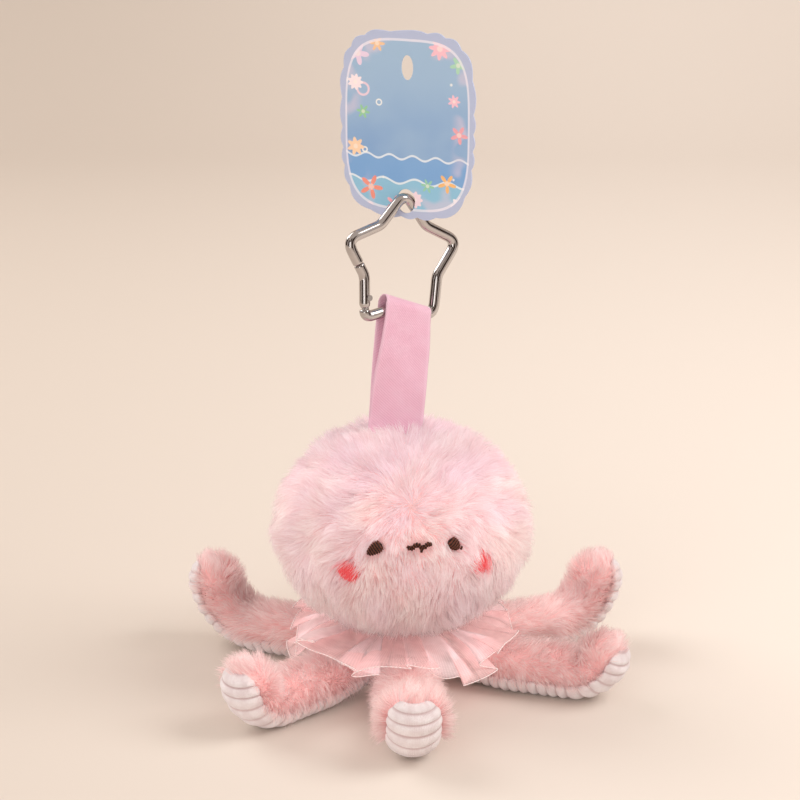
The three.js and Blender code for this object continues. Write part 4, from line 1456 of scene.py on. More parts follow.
    def build_pile(self, rings: Array) -> None:
        """Grows the pile and clears it off the stitched face.

        Args:
            rings: the points of the ground that it stands on.
        """
        rng = np.random.default_rng(7)
        roots = scatter(rings[: self.head_rings], self.density, rng, True)
        roots = roots.only(roots.place[:, 2] > self.shoulder_z + 3.0)
        start, finish, share = self.comb(roots)
        lengths = self.pile_length * share * rng.uniform(0.55, 1.08, len(share))
        lengths = np.where(self.from_cheeks(roots.place) < 1.0, 0.62 * lengths, lengths)
        grown = self.pile.grow(roots, start, finish, lengths)
        cheek = self.from_cheeks(grown.line[:, -2])
        clear = np.ones(len(lengths), dtype=bool)
        for clearing in self.clearings():
            clear &= ~(clearing.holds(grown.line) & (rng.random(len(lengths)) > clearing.stays))
        height = (roots.place[:, 2] - self.centre_z) / self.half[2]
        flush = 0.2 + 0.6 * smooth((height - 0.1) / 0.8) + 0.3 * Wander(20.0, 31).at(roots.place)
        flush = np.clip(flush, 0.0, 1.0)
        glow = np.clip(2.25 - 0.75 * cheek + rng.normal(scale=0.3, size=len(flush)), 0.0, 2.0)
        flush = np.where(rng.random(len(flush)) < 1.9 - 1.15 * cheek, np.maximum(flush, glow), flush)
        turn = np.degrees(np.arctan2(roots.place[:, 1], roots.place[:, 0]))
        sector = np.digitize(turn, [-135.0, -45.0, 45.0, 135.0]) % 4
        coat = rng.random(len(lengths)) < GUARD_SHARE
        for number, side in enumerate(("left", "front", "right", "back")):
            for fibre in Fibre:
                chosen = clear & (sector == number) & (coat == (fibre is Fibre.GUARD))
                name = f"head_{fibre.value}_{side}"
                piece = self.pile.draw(name, grown.only(chosen), flush[chosen], fibre, HEAD_PILE)
                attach(piece, "head")


# Limbs

@dataclass
class Section(Rows):
    """A limb's middle line and section sizes, one value for each row."""

    out: Array
    height: Array
    slope: Array
    half_width: Array
    half_height: Array
    run: Array


@dataclass
class Limb:
    """One stuffed limb: its body, its pile and its corduroy sole."""

    name: str
    heading: float
    straight: float
    bend: float
    curl: float
    seed: int
    hinge_radius: float = 27.0
    centre_z: float = 9.5
    root_radius: float = 8.5
    half_width: float = 10.8
    half_height: float = 10.0
    swell: float = 16.0
    seam: float = 20.0
    sole_thickness: float = 2.0
    sole_end: float = 0.84
    corner_length: float = 5.0
    corner_turn: float = 26.0
    ground: float = 2.6
    wale: float = 3.7
    wale_height: float = 0.95
    edge_wave: float = 5.0
    pile_length: float = 6.6
    density: float = 5.5
    sole_step: float = 0.42

    @property
    def body_name(self) -> str:
        """The name of the limb's body."""
        return f"tentacle_{self.name}"

    @property
    def bent(self) -> float:
        """How far along the limb its bend ends."""
        return self.straight + self.bend * math.radians(self.curl)

    def section(self, inset: float, step: float) -> Section:
        """The limb's rows.

        Args:
            inset: how far the face lies inside the outer one.
            step: the distance between rows.

        Returns:
            The rows from the root's dome to the toe's.
        """
        curl = math.radians(self.curl)
        arc = self.bend * curl
        reach = self.half_height - inset
        root = self.root_radius - inset
        marks = [-root * 0.995, 0.0, self.swell, self.straight, self.bent, self.bent + reach * 0.995]
        spans = [(a, b, max(3, round((b - a) / step))) for a, b in zip(marks, marks[1:])]
        run = np.concatenate([*(np.linspace(*span, endpoint=False) for span in spans), marks[-1:]])
        share = smooth(run / self.swell)
        w = lerp(self.root_radius, self.half_width, share) - inset
        h = lerp(self.root_radius, self.half_height, share) - inset
        dome = np.sqrt(np.clip(1.0 - (np.minimum(run, 0.0) / root) ** 2, 0.0, 1.0))
        past = np.maximum(run - self.straight - arc, 0.0)
        toe = np.sqrt(np.clip(1.0 - (past / reach) ** 2, 0.0, 1.0))
        slope = np.clip((run - self.straight) / self.bend, 0.0, curl)
        out = np.minimum(run, self.straight) + self.bend * np.sin(slope) + past * math.cos(curl)
        height = self.centre_z + self.bend * (1.0 - np.cos(slope)) + past * math.sin(curl)
        return Section(out, height, slope, w * dome * toe, h * dome * toe, run)

    def face(self, rows: Section, turns: Array, lift: Array | float = 0.0) -> Array:
        """Points of the limb's section; what would reach below the floor is flat on it.

        Args:
            rows: the limb's rows.
            turns: degrees round the section from its right side over the top, by column or by row and column.
            lift: how far the points stand off the section.

        Returns:
            The points by row and column.
        """
        turn = np.radians(np.broadcast_to(turns, (len(rows.run), np.shape(turns)[-1])))
        rise = (rows.half_height[:, None] + lift) * np.sin(turn)
        aside = (rows.half_width[:, None] + lift) * np.cos(turn)
        slope = rows.slope[:, None]
        out = self.hinge_radius + rows.out[:, None] - rise * np.sin(slope)
        height = np.maximum(rows.height[:, None] + rise * np.cos(slope), 0.0)
        ahead, right = bearing(self.heading), bearing(self.heading - 90.0)
        return out[..., None] * ahead + aside[..., None] * right + height[..., None] * UP

    def build(self) -> None:
        """Makes the limb's pieces and dresses them."""
        rows = self.section(self.ground, 1.4)
        rings = self.face(rows, np.arange(40) * 9.0)
        rings = rings + grid_normals(rings, True) * (0.3 * Wander(14.0, self.seed).at(rings))[..., None]
        rings[..., 2] = np.maximum(rings[..., 2], self.sole_thickness * 0.6)
        ends = rings[0].mean(0), rings[-1].mean(0)
        body = closed_skin(f"{self.body_name}_body", rings[:, ::-1], *ends)
        LIMB_KNIT.wear(body)
        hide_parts(f"{self.body_name}_upper", f"{self.body_name}_filling")
        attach(body, self.body_name)
        self.build_sole()
        self.build_pile()

    def sole_rows(self, inset: float) -> Section:
        """The rows of a face of the sole, from the root to its end near the toe's tip."""
        rows = self.section(inset, self.sole_step)
        return rows.only(rows.run <= self.bent + self.sole_end * (self.half_height - inset))

    def build_sole(self) -> None:
        """Makes the corduroy sole, with its wales across it and its seam drawn in between them."""
        rows, inner_rows = self.sole_rows(0.0), self.sole_rows(self.sole_thickness)
        share = np.linspace(0.0, 1.0, 43)
        crest = np.abs(np.cos(math.pi * rows.run / self.wale)) ** 0.75
        to_end = np.clip((rows.run[-1] - rows.run) / self.corner_length, 0.0, 1.0)
        corner = self.corner_turn * (1.0 - rounded(to_end))
        wave = self.edge_wave * (crest - 0.35)
        first = 180.0 + self.seam - wave + corner
        last = 360.0 - self.seam + wave - corner
        turns = lerp(first[:, None], last[:, None], share[None])
        shrink = np.sqrt(np.clip(rows.half_height / self.half_height, 0.0, 1.0))
        edge = np.clip(6.0 * np.minimum(share, 1.0 - share), 0.0, 1.0) ** 0.5
        edge = edge[None] * np.sqrt(np.clip(to_end * 3.0, 0.0, 1.0))[:, None]
        lift = (self.wale_height * (crest - 0.8) * shrink)[:, None] * edge + 0.7 * (edge - 1.0)
        outer = self.face(rows, turns, lift)
        places, inner_places = (np.linspace(0.0, 1.0, len(part.run)) for part in (rows, inner_rows))
        inner = self.face(inner_rows.each(lambda part: np.interp(places, inner_places, part)), turns)
        inner[..., 2] = np.maximum(inner[..., 2], outer[..., 2].min() + 0.9)
        sole = thick_patch(f"{self.body_name}_corduroy", outer, inner)
        girth = np.radians(turns - 270.0) * self.half_width
        paint(sole, "lay", girth, rows.run[:, None], crest[:, None], faces=2)
        CORDUROY.wear(sole)
        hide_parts(f"{self.body_name}_sole")
        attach(sole, self.body_name)

    def build_pile(self) -> None:
        """Grows the short pile of the upper cover."""
        rng = np.random.default_rng(self.seed)
        turns = np.linspace(-self.seam + 2.0, 180.0 + self.seam - 2.0, 48)
        roots = scatter(self.face(self.section(self.ground, 1.2), turns), self.density, rng)
        cap = self.section(self.ground, 0.4)
        cap = cap.only(cap.run > self.bent + (self.sole_end - 0.12) * (self.half_height - self.ground))
        below = np.linspace(180.0 + self.seam - 4.0, 360.0 - self.seam + 4.0, 40)
        roots = roots.followed_by(scatter(self.face(cap, below), 1.3 * self.density, rng))
        roots = roots.only(roots.place @ bearing(self.heading) > 20.0)
        wanders = [Wander(size, self.seed + k) for size, k in ((13.0, 40), (5.0, 60), (5.0, 80), (11.0, 9))]
        broad, fine, uneven, cloud = (wander.at(roots.place) for wander in wanders)
        drift = 0.6 * broad + 0.4 * fine
        side = np.cross(roots.normal, roots.along)
        comb = unit(roots.along + side * drift[:, None] + 0.35 * roots.normal - 0.3 * UP)
        start = roots.normal * (1.0 + 0.35 * uneven)[:, None] + comb * 0.45
        finish = roots.normal * 0.55 + comb * 0.8 - 0.15 * UP
        lengths = self.pile_length * rng.uniform(0.6, 1.1, len(roots.place))
        pile = Pile(0.24, 3, 14.0, 0.34, 0.18, self.seed + 100)
        grown = pile.grow(roots, unit(start), unit(finish), lengths)
        grown.line[..., 2] = np.maximum(grown.line[..., 2], 0.25)
        # Painted highlight: fibres that face up get more of the pale third colour; the cloud adds random
        # tone.
        top = smooth((roots.normal[:, 2] - 0.1) / 0.9)
        flush = np.clip(0.25 * top + 0.15 * cloud, 0.0, 0.7)
        coat = rng.random(len(lengths)) < GUARD_SHARE
        for fibre in Fibre:
            chosen = coat == (fibre is Fibre.GUARD)
            name = f"{self.body_name}_{fibre.value}"
            piece = pile.draw(name, grown.only(chosen), flush[chosen], fibre, LIMB_PILE)
            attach(piece, self.body_name)


def all_limbs() -> list[Limb]:
    """The six limbs, from the front one round against the clock.

    Returns:
        The limbs.
    """
    return [
        Limb("front", -87.0, 39.0, 12.0, 78.0, 201, pile_length=8.8),
        Limb("front_right", -18.0, 38.5, 14.0, 60.0, 202),
        Limb("back_right", 24.0, 36.0, 20.0, 78.0, 203),
        Limb("back", 91.0, 31.0, 16.0, 75.0, 204),
        Limb("back_left", 157.0, 32.0, 20.0, 79.0, 205),
        Limb("front_left", 224.0, 36.0, 13.0, 74.0, 206, pile_length=7.6),
    ]


# Ruffle

@dataclass
class Ruffle:
    """The gathered organza ruffle and its rolled hem, in gores, two to each limb."""

    limbs: list[Limb]
    root: float = 18.3
    reach: float = 42.0
    neck_z: float = 23.9
    lie_z: float = 22.4
    drop: float = 9.0
    flat_half: float = 7.0
    limb_half: float = 10.8
    pleats: int = 9
    pleat_height: float = 1.15
    pleat_flatness: float = 2.2
    drift: Size = (2.6, 2.2)
    hem_drift: Size = (1.3, 1.6)
    hem_pull: float = 1.5
    overlap: float = 5.6
    thickness: float = 0.1
    hem_radius: float = 0.19
    hem_sides: int = 8
    follow: float = 30.0
    flat: Size = (26.0, 300.0)
    rows: int = 26
    slow: Wander = Wander(34.0, 71)
    quick: Wander = Wander(17.0, 72)
    uneven: Wander = Wander(25.0, 73)

    def phase(self, angle: Array) -> Array:
        """How far through its folds the cloth is at each angle in degrees, in radians.

        Args:
            angle: the angles.

        Returns:
            One phase for each angle.
        """
        circle = bearing(angle) * self.reach
        even = ROUND * self.pleats * angle / 360.0
        return even + self.drift[0] * self.slow.at(circle) + self.drift[1] * self.quick.at(circle)

    def crest(self, wanted: float) -> float:
        """The angle nearest to a wanted one at which a fold is at its top or bottom.

        Args:
            wanted: the wanted angle.

        Returns:
            The angle, in degrees.
        """
        angle = wanted + np.linspace(-14.0, 14.0, 2801)
        found = angle[np.abs(np.cos(self.phase(angle))) < 0.02]
        return float(found[np.argmin(np.abs(found - wanted))])

    def points(self, angle: Array) -> tuple[Array, Array]:
        """The ruffle's middle face, by rows from the neck to the hem.

        Args:
            angle: each column's angle, in degrees.

        Returns:
            The points and how far up its fold each one is, 0 to 1.
        """
        share = np.linspace(0.0, 1.0, self.rows)[:, None]
        circle = bearing(np.broadcast_to(angle[None], (self.rows, len(angle))))
        wanders = self.slow, self.quick, self.uneven
        slow, quick, uneven = (wander.at(circle * self.reach) for wander in wanders)
        phase = self.phase(angle)[None]
        wave = np.tanh(self.pleat_flatness * np.sin(phase)) / math.tanh(self.pleat_flatness)
        rim = self.reach + self.hem_drift[0] * slow + self.hem_drift[1] * quick - self.hem_pull * wave
        radius = lerp(self.root, rim, share)
        nearest = np.full(radius.shape, 1e9)
        for limb in self.limbs:
            between = np.abs((angle[None] - limb.heading + 180.0) % 360.0 - 180.0)
            nearest = np.minimum(nearest, radius * np.sin(np.radians(np.minimum(between, 90.0))))
        hang = smooth((nearest - self.flat_half) / self.limb_half)
        opened = 0.3 * share**0.6 + 0.7 * share**1.5
        lift = self.pleat_height * (1.0 + 0.4 * uneven) * opened * wave + 2.2 * slow * share**2
        z = lerp(self.neck_z, self.lie_z, smooth(2.0 * share)) - self.drop * hang * share**2 + lift
        swing = -self.overlap * opened * np.sin(2.0 * phase) * (1.0 + 0.3 * slow)
        places = circle * radius[..., None] + np.cross(UP, circle) * swing[..., None]
        return places + z[..., None] * UP, np.broadcast_to(0.5 + 0.5 * wave, radius.shape)

    def give(self, line: float, side: Array) -> tuple[Array, Array]:
        """Two points for a gore's edge over its limb: one where it leaves the neck, and one farther out.

        Args:
            line: the angle of the gore's edge over the limb.
            side: the hem's end at the gore's other edge.

        Returns:
            The two points, in millimetres.
        """
        heading = bearing(np.array(line))
        neck = heading * self.root
        still = side - neck
        across = unit(np.array([still[1], -still[0], 0.0]))
        across *= np.sign(across @ heading)
        start = neck + self.neck_z * UP
        return start, start + across * (self.follow - self.root) * (across @ heading)

    def build(self) -> None:
        """Makes the ruffle and its hem, as two gores to each limb that meet at the tops of folds."""
        limbs = sorted(self.limbs, key=lambda limb: limb.heading % 360.0)
        headings = [limb.heading % 360.0 for limb in limbs]
        gaps = [self.crest((a + b) / 2.0) for a, b in zip(headings, [*headings[1:], headings[0] + 360.0])]
        seams = [gaps[-1] - 360.0]
        for heading, gap in zip(headings, gaps):
            seams += [self.crest(heading), gap]
        runs = [np.linspace(a, b, round(1.2 * (b - a)), endpoint=False) for a, b in zip(seams, seams[1:])]
        angle = np.concatenate([*runs, seams[-1:]])
        ends = np.cumsum([0, *map(len, runs)])
        middle, fold = self.points(angle)
        offset = grid_normals(middle) * self.thickness / 2.0
        around = distances(middle[-1])
        around *= self.flat[1] / around[-1]
        down = np.linspace(0.0, self.flat[0], self.rows)[:, None]
        for k, limb in enumerate(np.repeat(limbs, 2)):
            name = f"ruffle_{limb.name}_{'second' if k % 2 else 'first'}"
            part = slice(ends[k], ends[k + 1] + 1)
            gore = thick_patch(name, (middle + offset)[:, part], (middle - offset)[:, part])
            run = around[part]
            paint(gore, "lay", run[None], down, fold[:, part], faces=2)
            ORGANZA.wear(gore)
            gore.visible_shadow = False
            hem = tube(f"{name}_hem", middle[-1, part], self.hem_radius, self.hem_sides)
            paint_tube(hem, run, 1.0, self.hem_sides)
            HEM.wear(hem)
            line, side = (k, k + 1) if k % 2 else (k + 1, k)
            start, end = self.give(seams[line], middle[-1, ends[side]])
            for piece in (gore, hem):
                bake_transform(piece)
            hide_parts("ruffle")


# Clip, in its own plane: x across, z up

THROUGH = np.array([0.0, 1.0, 0.0])


@dataclass
class Clip:
    """The star-shaped wire clip, its gate, pin and spring, and its place on the ribbon."""

    turn: float = 32.5
    lean: float = 7.6
    roll: float = 8.0
    centre: Size3 = (-0.0819, 11.4221, 157.2953)
    tip_radius: float = 25.0
    notch_radius: float = 16.4
    wire: float = 2.0
    tip_bend: float = 4.2
    notch_bend: float = 6.5
    bar_bend: float = 4.0
    nose_share: float = 0.66
    end_ease: float = 0.5
    gap: float = 0.3
    pin_down: float = 7.9
    pin_in: float = 0.7
    heel: float = 4.0
    heel_gap: float = 0.4
    heel_round: float = 1.6
    slot_half: float = 1.05
    slot_top: float = -2.6
    slot_ease: float = 0.7
    web: float = 0.9
    tongue_top: float = -1.6
    tongue_past: float = 1.0
    tongue_in: float = 0.25
    tongue_half: Size = (1.3, 0.72)
    sides: int = 28
    gate_sides: int = 48
    step: float = 0.35

    @cached_property
    def matrix(self) -> Array:
        """How the clip's own plane is turned in the charm.

        Returns:
            The turn, three by three.
        """
        turns = zip((-self.lean, self.roll, self.turn), np.eye(3))
        about_x, about_y, about_z = (Euler(math.radians(angle) * axis).to_matrix() for angle, axis in turns)
        return np.array(about_z @ about_x @ about_y)

    @cached_property
    def ahead(self) -> Array:
        """The direction down the star's lower left side."""
        return unit(self.corner(4) - self.corner(3))

    @cached_property
    def inside(self) -> Array:
        """The direction from that side into the star."""
        return np.array([-self.ahead[2], 0.0, self.ahead[0]])

    def placed(self, points: Array) -> Array:
        """Points of the clip's own plane, at their place in the charm."""
        return points @ self.matrix.T + np.array(self.centre)

    def corner(self, k: int) -> Array:
        """Corner k of the star; even ones are tips, odd ones notches, and both go round against the clock."""
        radius = self.tip_radius if k % 2 == 0 else self.notch_radius
        return radius * bearing(90.0 + 36.0 * k)[[0, 2, 1]]

    def beside(self, down: float, inwards: float) -> Array:
        """A place beside the lower left side: down from the pin and in from the wire's middle line."""
        return self.corner(3) + self.ahead * (self.pin_down + down) + self.inside * inwards

    def bent(self, corners: list[tuple[Array, float]]) -> Array:
        """A path through corners, each rounded by its bend.

        Args:
            corners: the corners and their bends; those of the first and last aren't used.

        Returns:
            The path's points, evenly spaced.
        """
        points = [corners[0][0]]
        for before, (at, bend), after in zip(corners, corners[1:], corners[2:]):
            back, ahead = unit(before[0] - at), unit(after[0] - at)
            setback = bend / math.tan(math.acos(float(np.clip(back @ ahead, -1.0, 1.0))) / 2.0)
            setback = min(setback, 0.98 * float(np.linalg.norm(after[0] - at)))
            start, end = at + back * setback, at + ahead * setback
            for share in np.linspace(0.0, 1.0, 13):
                points.append(lerp(lerp(start, at, share), lerp(at, end, share), share))
        points.append(corners[-1][0])
        raw = np.array(points)
        lengths = distances(raw)
        places = np.linspace(0.0, lengths[-1], max(4, round(lengths[-1] / self.step)))
        return np.stack([np.interp(places, lengths, column) for column in raw.T], axis=1)

    def rounded_ends(self, count: int) -> Array:
        """Radii along a bar of a count of points whose ends are eased."""
        places = np.minimum(np.arange(count), np.arange(count)[::-1]) * self.step
        return self.wire * (0.8 + 0.2 * rounded(places / self.end_ease))

    def build(self, nodes: dict[str, Piece]) -> None:
        """Makes the frame and the gate, and finishes the pin and the spring.

        Args:
            nodes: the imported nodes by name.
        """
        corners = [(lerp(self.corner(2), self.corner(3), self.nose_share), 0.0)]
        for k in range(2, -7, -1):
            notch = self.bar_bend if k == -5 else self.notch_bend
            corners.append((self.corner(k), self.tip_bend if k % 2 == 0 else notch))
        corners.append((self.beside(self.heel + self.heel_gap, 0.0), 0.0))
        path = self.bent(corners)
        frame = tube("clip_wire", self.placed(path), self.rounded_ends(len(path)), self.sides)
        CHROME.wear(frame)
        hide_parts("clip_frame")
        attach(frame, "clip")
        self.build_tongue()
        self.build_gate()
        CHROME.coat(nodes["gate_pin"])
        STEEL.coat(nodes["gate_spring"])

    def shaped_bar(self, name: str, path: Array, radii: float | Array, sides: int, outline: Outline) -> Piece:
        """Makes a chromed bar in the clip's own plane and puts it at its place in the charm.

        Args:
            name: the piece's name.
            path: points of its middle line.
            radii: its radius, or one for each point.
            sides: points in each ring.
            outline: how its rings are changed.

        Returns:
            The new object.
        """
        bar = tube(name, path, radii, sides, outline)
        place_points(bar.data, self.placed(mesh_points(bar.data) / MM))
        CHROME.wear(bar)
        return bar

    def build_tongue(self) -> None:
        """Makes the flat tongue at the wire's end, which carries the pin."""
        bottom = self.heel + self.heel_gap + self.tongue_past
        path = np.linspace(*(self.beside(down, self.tongue_in) for down in (self.tongue_top, bottom)), 24)
        half_width, half_thickness = self.tongue_half

        def flat(row: int, ring: Array) -> Array:
            """A rounded oblong section whose upper end is rounded too.

            Args:
                row: the ring's number.
                ring: its points.

            Returns:
                The ring's changed points.
            """
            offset = ring - path[row]
            x, y = offset @ self.inside, offset[:, 1]
            round_end = math.sqrt(max(0.05, 1.0 - max(0.0, 1.0 - row / 7.0) ** 2))
            wide = np.sign(x) * np.abs(x) ** 0.4 * half_width * round_end
            thin = np.sign(y) * np.abs(y) ** 0.4 * half_thickness
            return path[row] + wide[:, None] * self.inside + thin[:, None] * THROUGH

        tongue = self.shaped_bar("clip_tongue", path, 1.0, self.sides, flat)
        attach(tongue, "clip")

    def build_gate(self) -> None:
        """Makes the gate, slotted over the tongue from the inside of the star."""
        left_tip, left_notch = self.corner(2), self.corner(3)
        share = self.nose_share + self.gap / float(np.linalg.norm(left_notch - left_tip))
        start, end = lerp(left_tip, left_notch, share), self.beside(self.heel - 0.3, 0.0)
        path = self.bent([(start, 0.0), (left_notch, self.notch_bend), (end, 0.0)])
        slot_top = self.beside(self.slot_top, 0.0) @ self.ahead
        left = path[-1] @ self.ahead - path @ self.ahead
        heel = self.wire * np.sqrt(np.clip(1.0 - (1.0 - left / self.heel_round) ** 2 * 0.55, 0.0, 1.0))
        radii = np.where(left < self.heel_round, heel, self.rounded_ends(len(path)))

        def slotted(row: int, ring: Array) -> Array:
            """The round section with the slot cut into its inner side.

            Args:
                row: the ring's number.
                ring: its points.

            Returns:
                The ring's changed points.
            """
            depth = float(smooth(np.array((path[row] @ self.ahead - slot_top) / self.slot_ease)))
            if path[row] @ self.inside < left_notch @ self.inside - 3.0 or depth <= 0.0:
                return ring
            offset = ring - path[row]
            x, y = offset @ self.inside, offset[:, 1]
            cut = (np.abs(y) < self.slot_half) & (x > 0.0)
            moved = np.where(cut, lerp(x, self.web - self.wire, depth), x)
            return path[row] + moved[:, None] * self.inside + y[:, None] * THROUGH

        gate = self.shaped_bar("gate_bar", path, radii, self.gate_sides, slotted)
        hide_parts("clip_gate")
        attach(gate, "gate")


# Ribbon

@dataclass
class Ribbon:
    """The ribbon loop, from its seam in the crown over the clip's bar and back down."""

    foot: Size3 = (-2.6, 0.0, 95.237)
    bar: Size3 = (0.80597, 0.45322, -0.38079)
    width: float = 20.0
    thickness: float = 0.6
    length: float = 46.2
    slant: float = 2.1
    closed: float = 0.5
    crown: float = 2.75
    opening: float = 0.82
    cup: float = 0.33
    waver: float = 0.22
    edge_ease: float = 0.8
    rise_rows: int = 90
    crown_rows: int = 26

    def build(self, clip: Clip) -> None:
        """Makes the loop.

        Args:
            clip: the clip that it carries.
        """
        slant = math.radians(self.slant)
        run = clip.matrix @ np.array([math.sin(slant), 0.0, math.cos(slant)])
        rise = np.linspace(0.0, 1.0, self.rise_rows)
        over = np.linspace(0.0, math.pi, self.crown_rows + 2)[1:-1]
        shares = np.concatenate([rise, np.ones(len(over)), np.linspace(1.0, 0.0, len(rise))])
        turns = np.concatenate([np.zeros(len(rise)), over, np.full(len(rise), math.pi)])
        across = unit(lerp(np.array([1.0, 0.0, 0.0]), np.array(self.bar), smooth(shares)[:, None]))
        out = unit(np.cross(across, run))
        up = np.cross(out, across)
        middle = np.array(self.foot) + run * (shares * self.length)[:, None]
        offset = lerp(self.closed, self.crown, smooth(shares / self.opening))
        place = middle + out * (offset * np.cos(turns))[:, None] + up * (offset * np.sin(turns))[:, None]
        outward = out * np.cos(turns)[:, None] + up * np.sin(turns)[:, None]
        along = distances(place)[:, None]
        share = np.linspace(-0.5, 0.5, 31)
        aside = self.width * share
        held = np.minimum(1.0, 4.0 * shares * (1.0 - shares))[:, None]
        cup = self.cup * held * (2.0 * share[None]) ** 2
        places = np.stack(np.broadcast_arrays(along, aside[None]), axis=-1)
        waver = held * self.waver * Wander(22.0, 91).at(places)
        rolled = place[:, None] + across[:, None] * aside[None, :, None]
        rolled = rolled + outward[:, None] * (waver + cup)[..., None]
        edge = np.clip((0.5 - np.abs(share)) * self.width / self.edge_ease, 0.25, 1.0) ** 0.5
        half = outward[:, None] * (self.thickness / 2.0 * edge)[None, :, None]
        loop = thick_patch("ribbon_loop_twill", rolled + half, rolled - half)
        paint(loop, "lay", aside[None], along, 0.0, faces=2)
        RIBBON.wear(loop)
        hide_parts("ribbon_loop")
        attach(loop, "ribbon")


# Tag

@dataclass
class Tag:
    """The scalloped card on the clip's top tip."""

    top_tip: Size3 = (1.0933, 16.0530, 181.8345)
    width: float = 53.5
    height: float = 68.8
    thickness: float = 0.8
    turn: float = -22.0
    below_tip: float = 9.6
    aside: float = 0.9
    taper: float = 0.05
    squareness: float = 3.6
    lobes: int = 22
    lobe_height: float = 0.9
    hole: Size = (7.0, 9.0)
    hole_drop: float = 3.0
    hole_aside: float = 0.5
    peg: Size = (4.6, 9.0)
    peg_drop: float = 13.5
    bevel: float = 0.12

    def outline(self) -> Array:
        """The card's rim: a rounded oblong with shallow lobes.

        Returns:
            Points of two coordinates.
        """
        angle = ring_turns(self.lobes * 20)
        cos, sin = np.cos(angle), np.sin(angle)
        sway = 1.3 * np.sin(2.0 * angle) + 0.9 * np.sin(5.0 * angle + 1.0)
        lobe = self.lobe_height * (np.abs(np.sin(self.lobes * angle / 2.0 + sway)) - 1.0)
        power = self.squareness
        stretch = (np.abs(cos) ** power + np.abs(sin) ** power) ** (-1.0 / power)
        narrowing = 1.0 - self.taper * (0.5 - stretch * sin / 2.0)
        x = (self.width / 2 + lobe) * narrowing * stretch * cos
        return np.stack([x, (self.height / 2 + lobe) * stretch * sin], -1)

    def oval(self, size: Size, x: float, y: float) -> Array:
        """The rim of an oval hole round a place on the card."""
        turns = ring_turns(56)
        return np.stack([x + size[0] / 2 * np.cos(turns), y + size[1] / 2 * np.sin(turns)], -1)

    def build(self) -> None:
        """Makes the card with its two holes."""
        middle_z = self.height / 2.0 - self.below_tip
        wire_hole = self.oval(self.hole, self.hole_aside - self.aside, -self.hole_drop - middle_z)
        peg_hole = self.oval(self.peg, 0.0, self.height / 2 - self.peg_drop)
        curve = bpy.data.curves.new("card_outline", "CURVE")
        curve.dimensions, curve.fill_mode = "2D", "BOTH"
        curve.extrude, curve.offset = self.thickness / 2 - self.bevel, -self.bevel
        curve.bevel_depth, curve.bevel_resolution = self.bevel, 1
        for ring in (self.outline(), wire_hole, peg_hole):
            spline = curve.splines.new("POLY")
            spline.points.add(len(ring) - 1)
            spline.points.foreach_set("co", np.pad(ring, ((0, 0), (0, 2))).astype(np.float32).ravel())
            spline.use_cyclic_u = True
        sketch = add_object("card_sketch", curve)
        bpy.context.view_layer.update()
        shape = sketch.evaluated_get(bpy.context.evaluated_depsgraph_get())
        mesh = bpy.data.meshes.new_from_object(shape)
        bpy.data.objects.remove(sketch)
        bpy.data.curves.remove(curve)
        mesh.name = "tag_printed_card"
        flat = mesh_points(mesh).astype(float)
        ahead = bearing(self.turn)
        origin = np.array(self.top_tip) + ahead * self.aside + UP * middle_z
        place_points(mesh, origin + flat @ np.array([ahead, UP, np.cross(ahead, UP)]))
        card = add_object("tag_printed_card", mesh)
        paint(card, "lay", *flat.T)
        CARD.wear(card)
        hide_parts("tag_card")
        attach(card, "tag")


# Stage

class Lamp(Enum):
    """The soft lamps: place in metres, size in metres, power in watts, and colour."""

    KEY = ((0.95, -0.1, 0.95), 0.75, 9.8, (1.0, 0.985, 0.97))
    FILL = ((-0.5, -1.05, 0.22), 0.9, 5.6, (1.0, 0.99, 0.985))
    BACK = ((-0.8, 0.5, 0.8), 0.8, 7.0, (1.0, 0.985, 0.97))


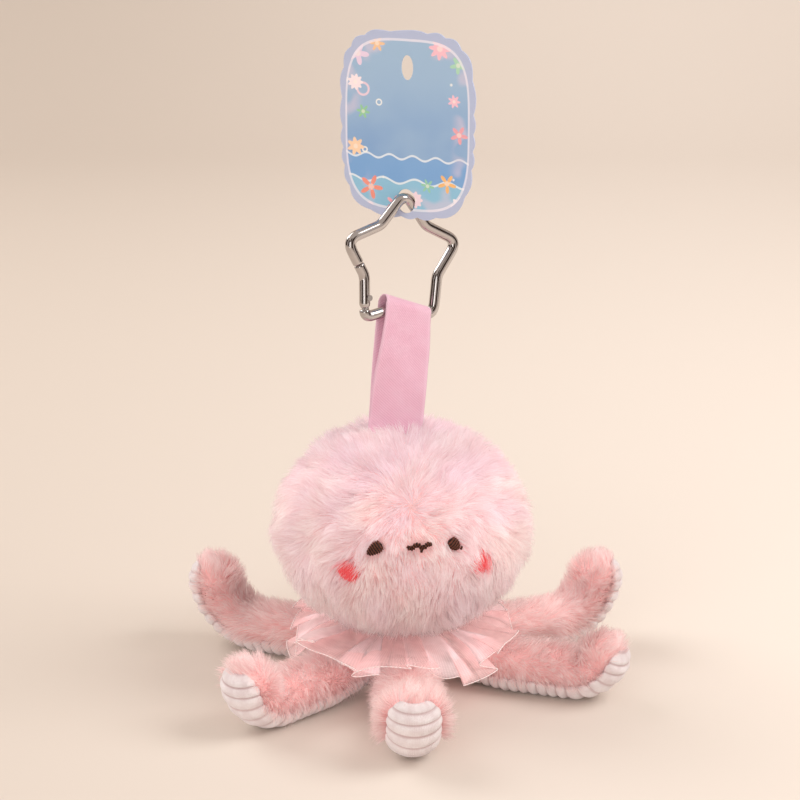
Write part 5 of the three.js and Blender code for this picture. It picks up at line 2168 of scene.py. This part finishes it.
@dataclass
class Stage:
    """The sweep, the lamps and the camera."""

    target_z: float = 108.2
    distance: float = 900.0
    elevation: float = 18.0
    focal: float = 110.96
    shift: float = -0.0025
    lamp_aim: float = 0.07
    world_tone: Shade = Shade(254, 240, 230)
    world_strength: float = 0.66
    floor_half: float = 1900.0
    floor_near: float = -1600.0
    floor_far: float = 900.0
    floor_bend: float = 500.0
    wall_height: float = 1900.0
    cards: tuple[tuple[float, ...], ...] = (
        (-128.0, 1100.0, 760.0, 30.0, 900.0),
        (-55.0, 1100.0, 620.0, 30.0, 900.0),
        (-90.0, 1300.0, 520.0, 420.0, 1500.0),
        (0.0, 1000.0, 620.0, 30.0, 900.0),
        (175.0, 1000.0, 700.0, 30.0, 1100.0),
    )

    def build(self) -> None:
        """Sets the camera, the lamps, the world and the sweep."""
        scene = bpy.context.scene
        scene.view_settings.view_transform = "Standard"
        camera = add_object("camera", bpy.data.cameras.new("camera"))
        tilt = math.radians(self.elevation)
        height = self.target_z + self.distance * math.sin(tilt)
        camera.location = (0.0, -self.distance * math.cos(tilt) * MM, height * MM)
        camera.rotation_euler = (math.pi / 2 - tilt, 0.0, 0.0)
        camera.data.lens, camera.data.sensor_width, camera.data.shift_x = self.focal, 36.0, self.shift
        scene.camera = camera
        self.build_lamps()
        self.build_sweep()
        self.build_cards()

    def build_lamps(self) -> None:
        """Adds the soft lamps and the pale world."""
        aim = Vector((0.0, 0.0, self.lamp_aim))
        for lamp in Lamp:
            place, size, power, colour = lamp.value
            light = bpy.data.lights.new(f"lamp_{lamp.name.lower()}", "AREA")
            light.size, light.energy, light.color = size, power, colour
            stand = add_object(light.name, light)
            stand.location = place
            stand.rotation_euler = (aim - Vector(place)).to_track_quat("-Z", "Y").to_euler()
        world = bpy.data.worlds.new("studio")
        world.use_nodes = True
        backing = world.node_tree.nodes["Background"]
        backing.inputs[0].default_value = self.world_tone.linear
        backing.inputs[1].default_value = self.world_strength
        bpy.context.scene.world = world

    def build_cards(self) -> None:
        """Adds the dark cards beside the camera, which only polished surfaces see."""
        for number, (turn, near, width, low, high) in enumerate(self.cards):
            half = math.degrees(math.atan(width / 2.0 / near))
            left, right = (near * bearing(turn + side * half) for side in (-1.0, 1.0))
            points = np.array([left + low * UP, right + low * UP, right + high * UP, left + high * UP])
            card = make_object(f"dark_card_{number}", points, np.array([[0, 1, 2, 3]]))
            card.data.materials.append(DARK_CARD.material)
            for rays in ("camera", "diffuse", "shadow", "transmission"):
                setattr(card, f"visible_{rays}", False)

    def build_sweep(self) -> None:
        """Adds the floor, which bends up into a backdrop."""
        far, bend = self.floor_far, self.floor_bend
        turns = np.radians(np.linspace(5.0, 85.0, 17))
        profile = [(self.floor_near, 0.0), (far, 0.0)]
        profile += [(far + bend * math.sin(t), bend * (1.0 - math.cos(t))) for t in turns]
        profile += [(far + bend, bend + 20.0), (far + bend, self.wall_height)]
        places = np.linspace(-self.floor_half, self.floor_half, 9)
        points = np.array([[(x, y, z) for x in places] for y, z in profile])
        sweep = make_object("sweep", points.reshape(-1, 3), grid_quads(len(profile), len(places)))
        sweep.data.materials.append(FLOOR.material)


def report(title: str, known: set[str]) -> None:
    """Logs the pieces that have come since the last report.

    Args:
        title: what has been built.
        known: the names of the pieces so far, which it adds to.
    """
    for piece in bpy.context.scene.objects:
        if piece.type == "MESH" and piece.name not in known:
            known.add(piece.name)
            LOG.info("%s: %s, %d points", title, piece.name, len(piece.data.vertices))


def main() -> None:
    """Loads the frame and builds the charm round it."""
    logging.basicConfig(level=logging.INFO, format="%(name)s: %(message)s")
    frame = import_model()
    known: set[str] = set()
    report("packed", known)
    limbs, clip = all_limbs(), Clip()
    builders = {
        "stage": Stage().build,
        "head": Head().build,
        **{f"{limb.name} limb": limb.build for limb in limbs},
        "ruffle": Ruffle(limbs).build,
        "clip": partial(clip.build, frame["nodes"]),
        "ribbon": partial(Ribbon().build, clip),
        "tag": Tag().build,
    }
    for title, build in builders.items():
        build()
        report(title, known)
    bpy.context.view_layer.update()


if __name__ == "__main__":
    main()
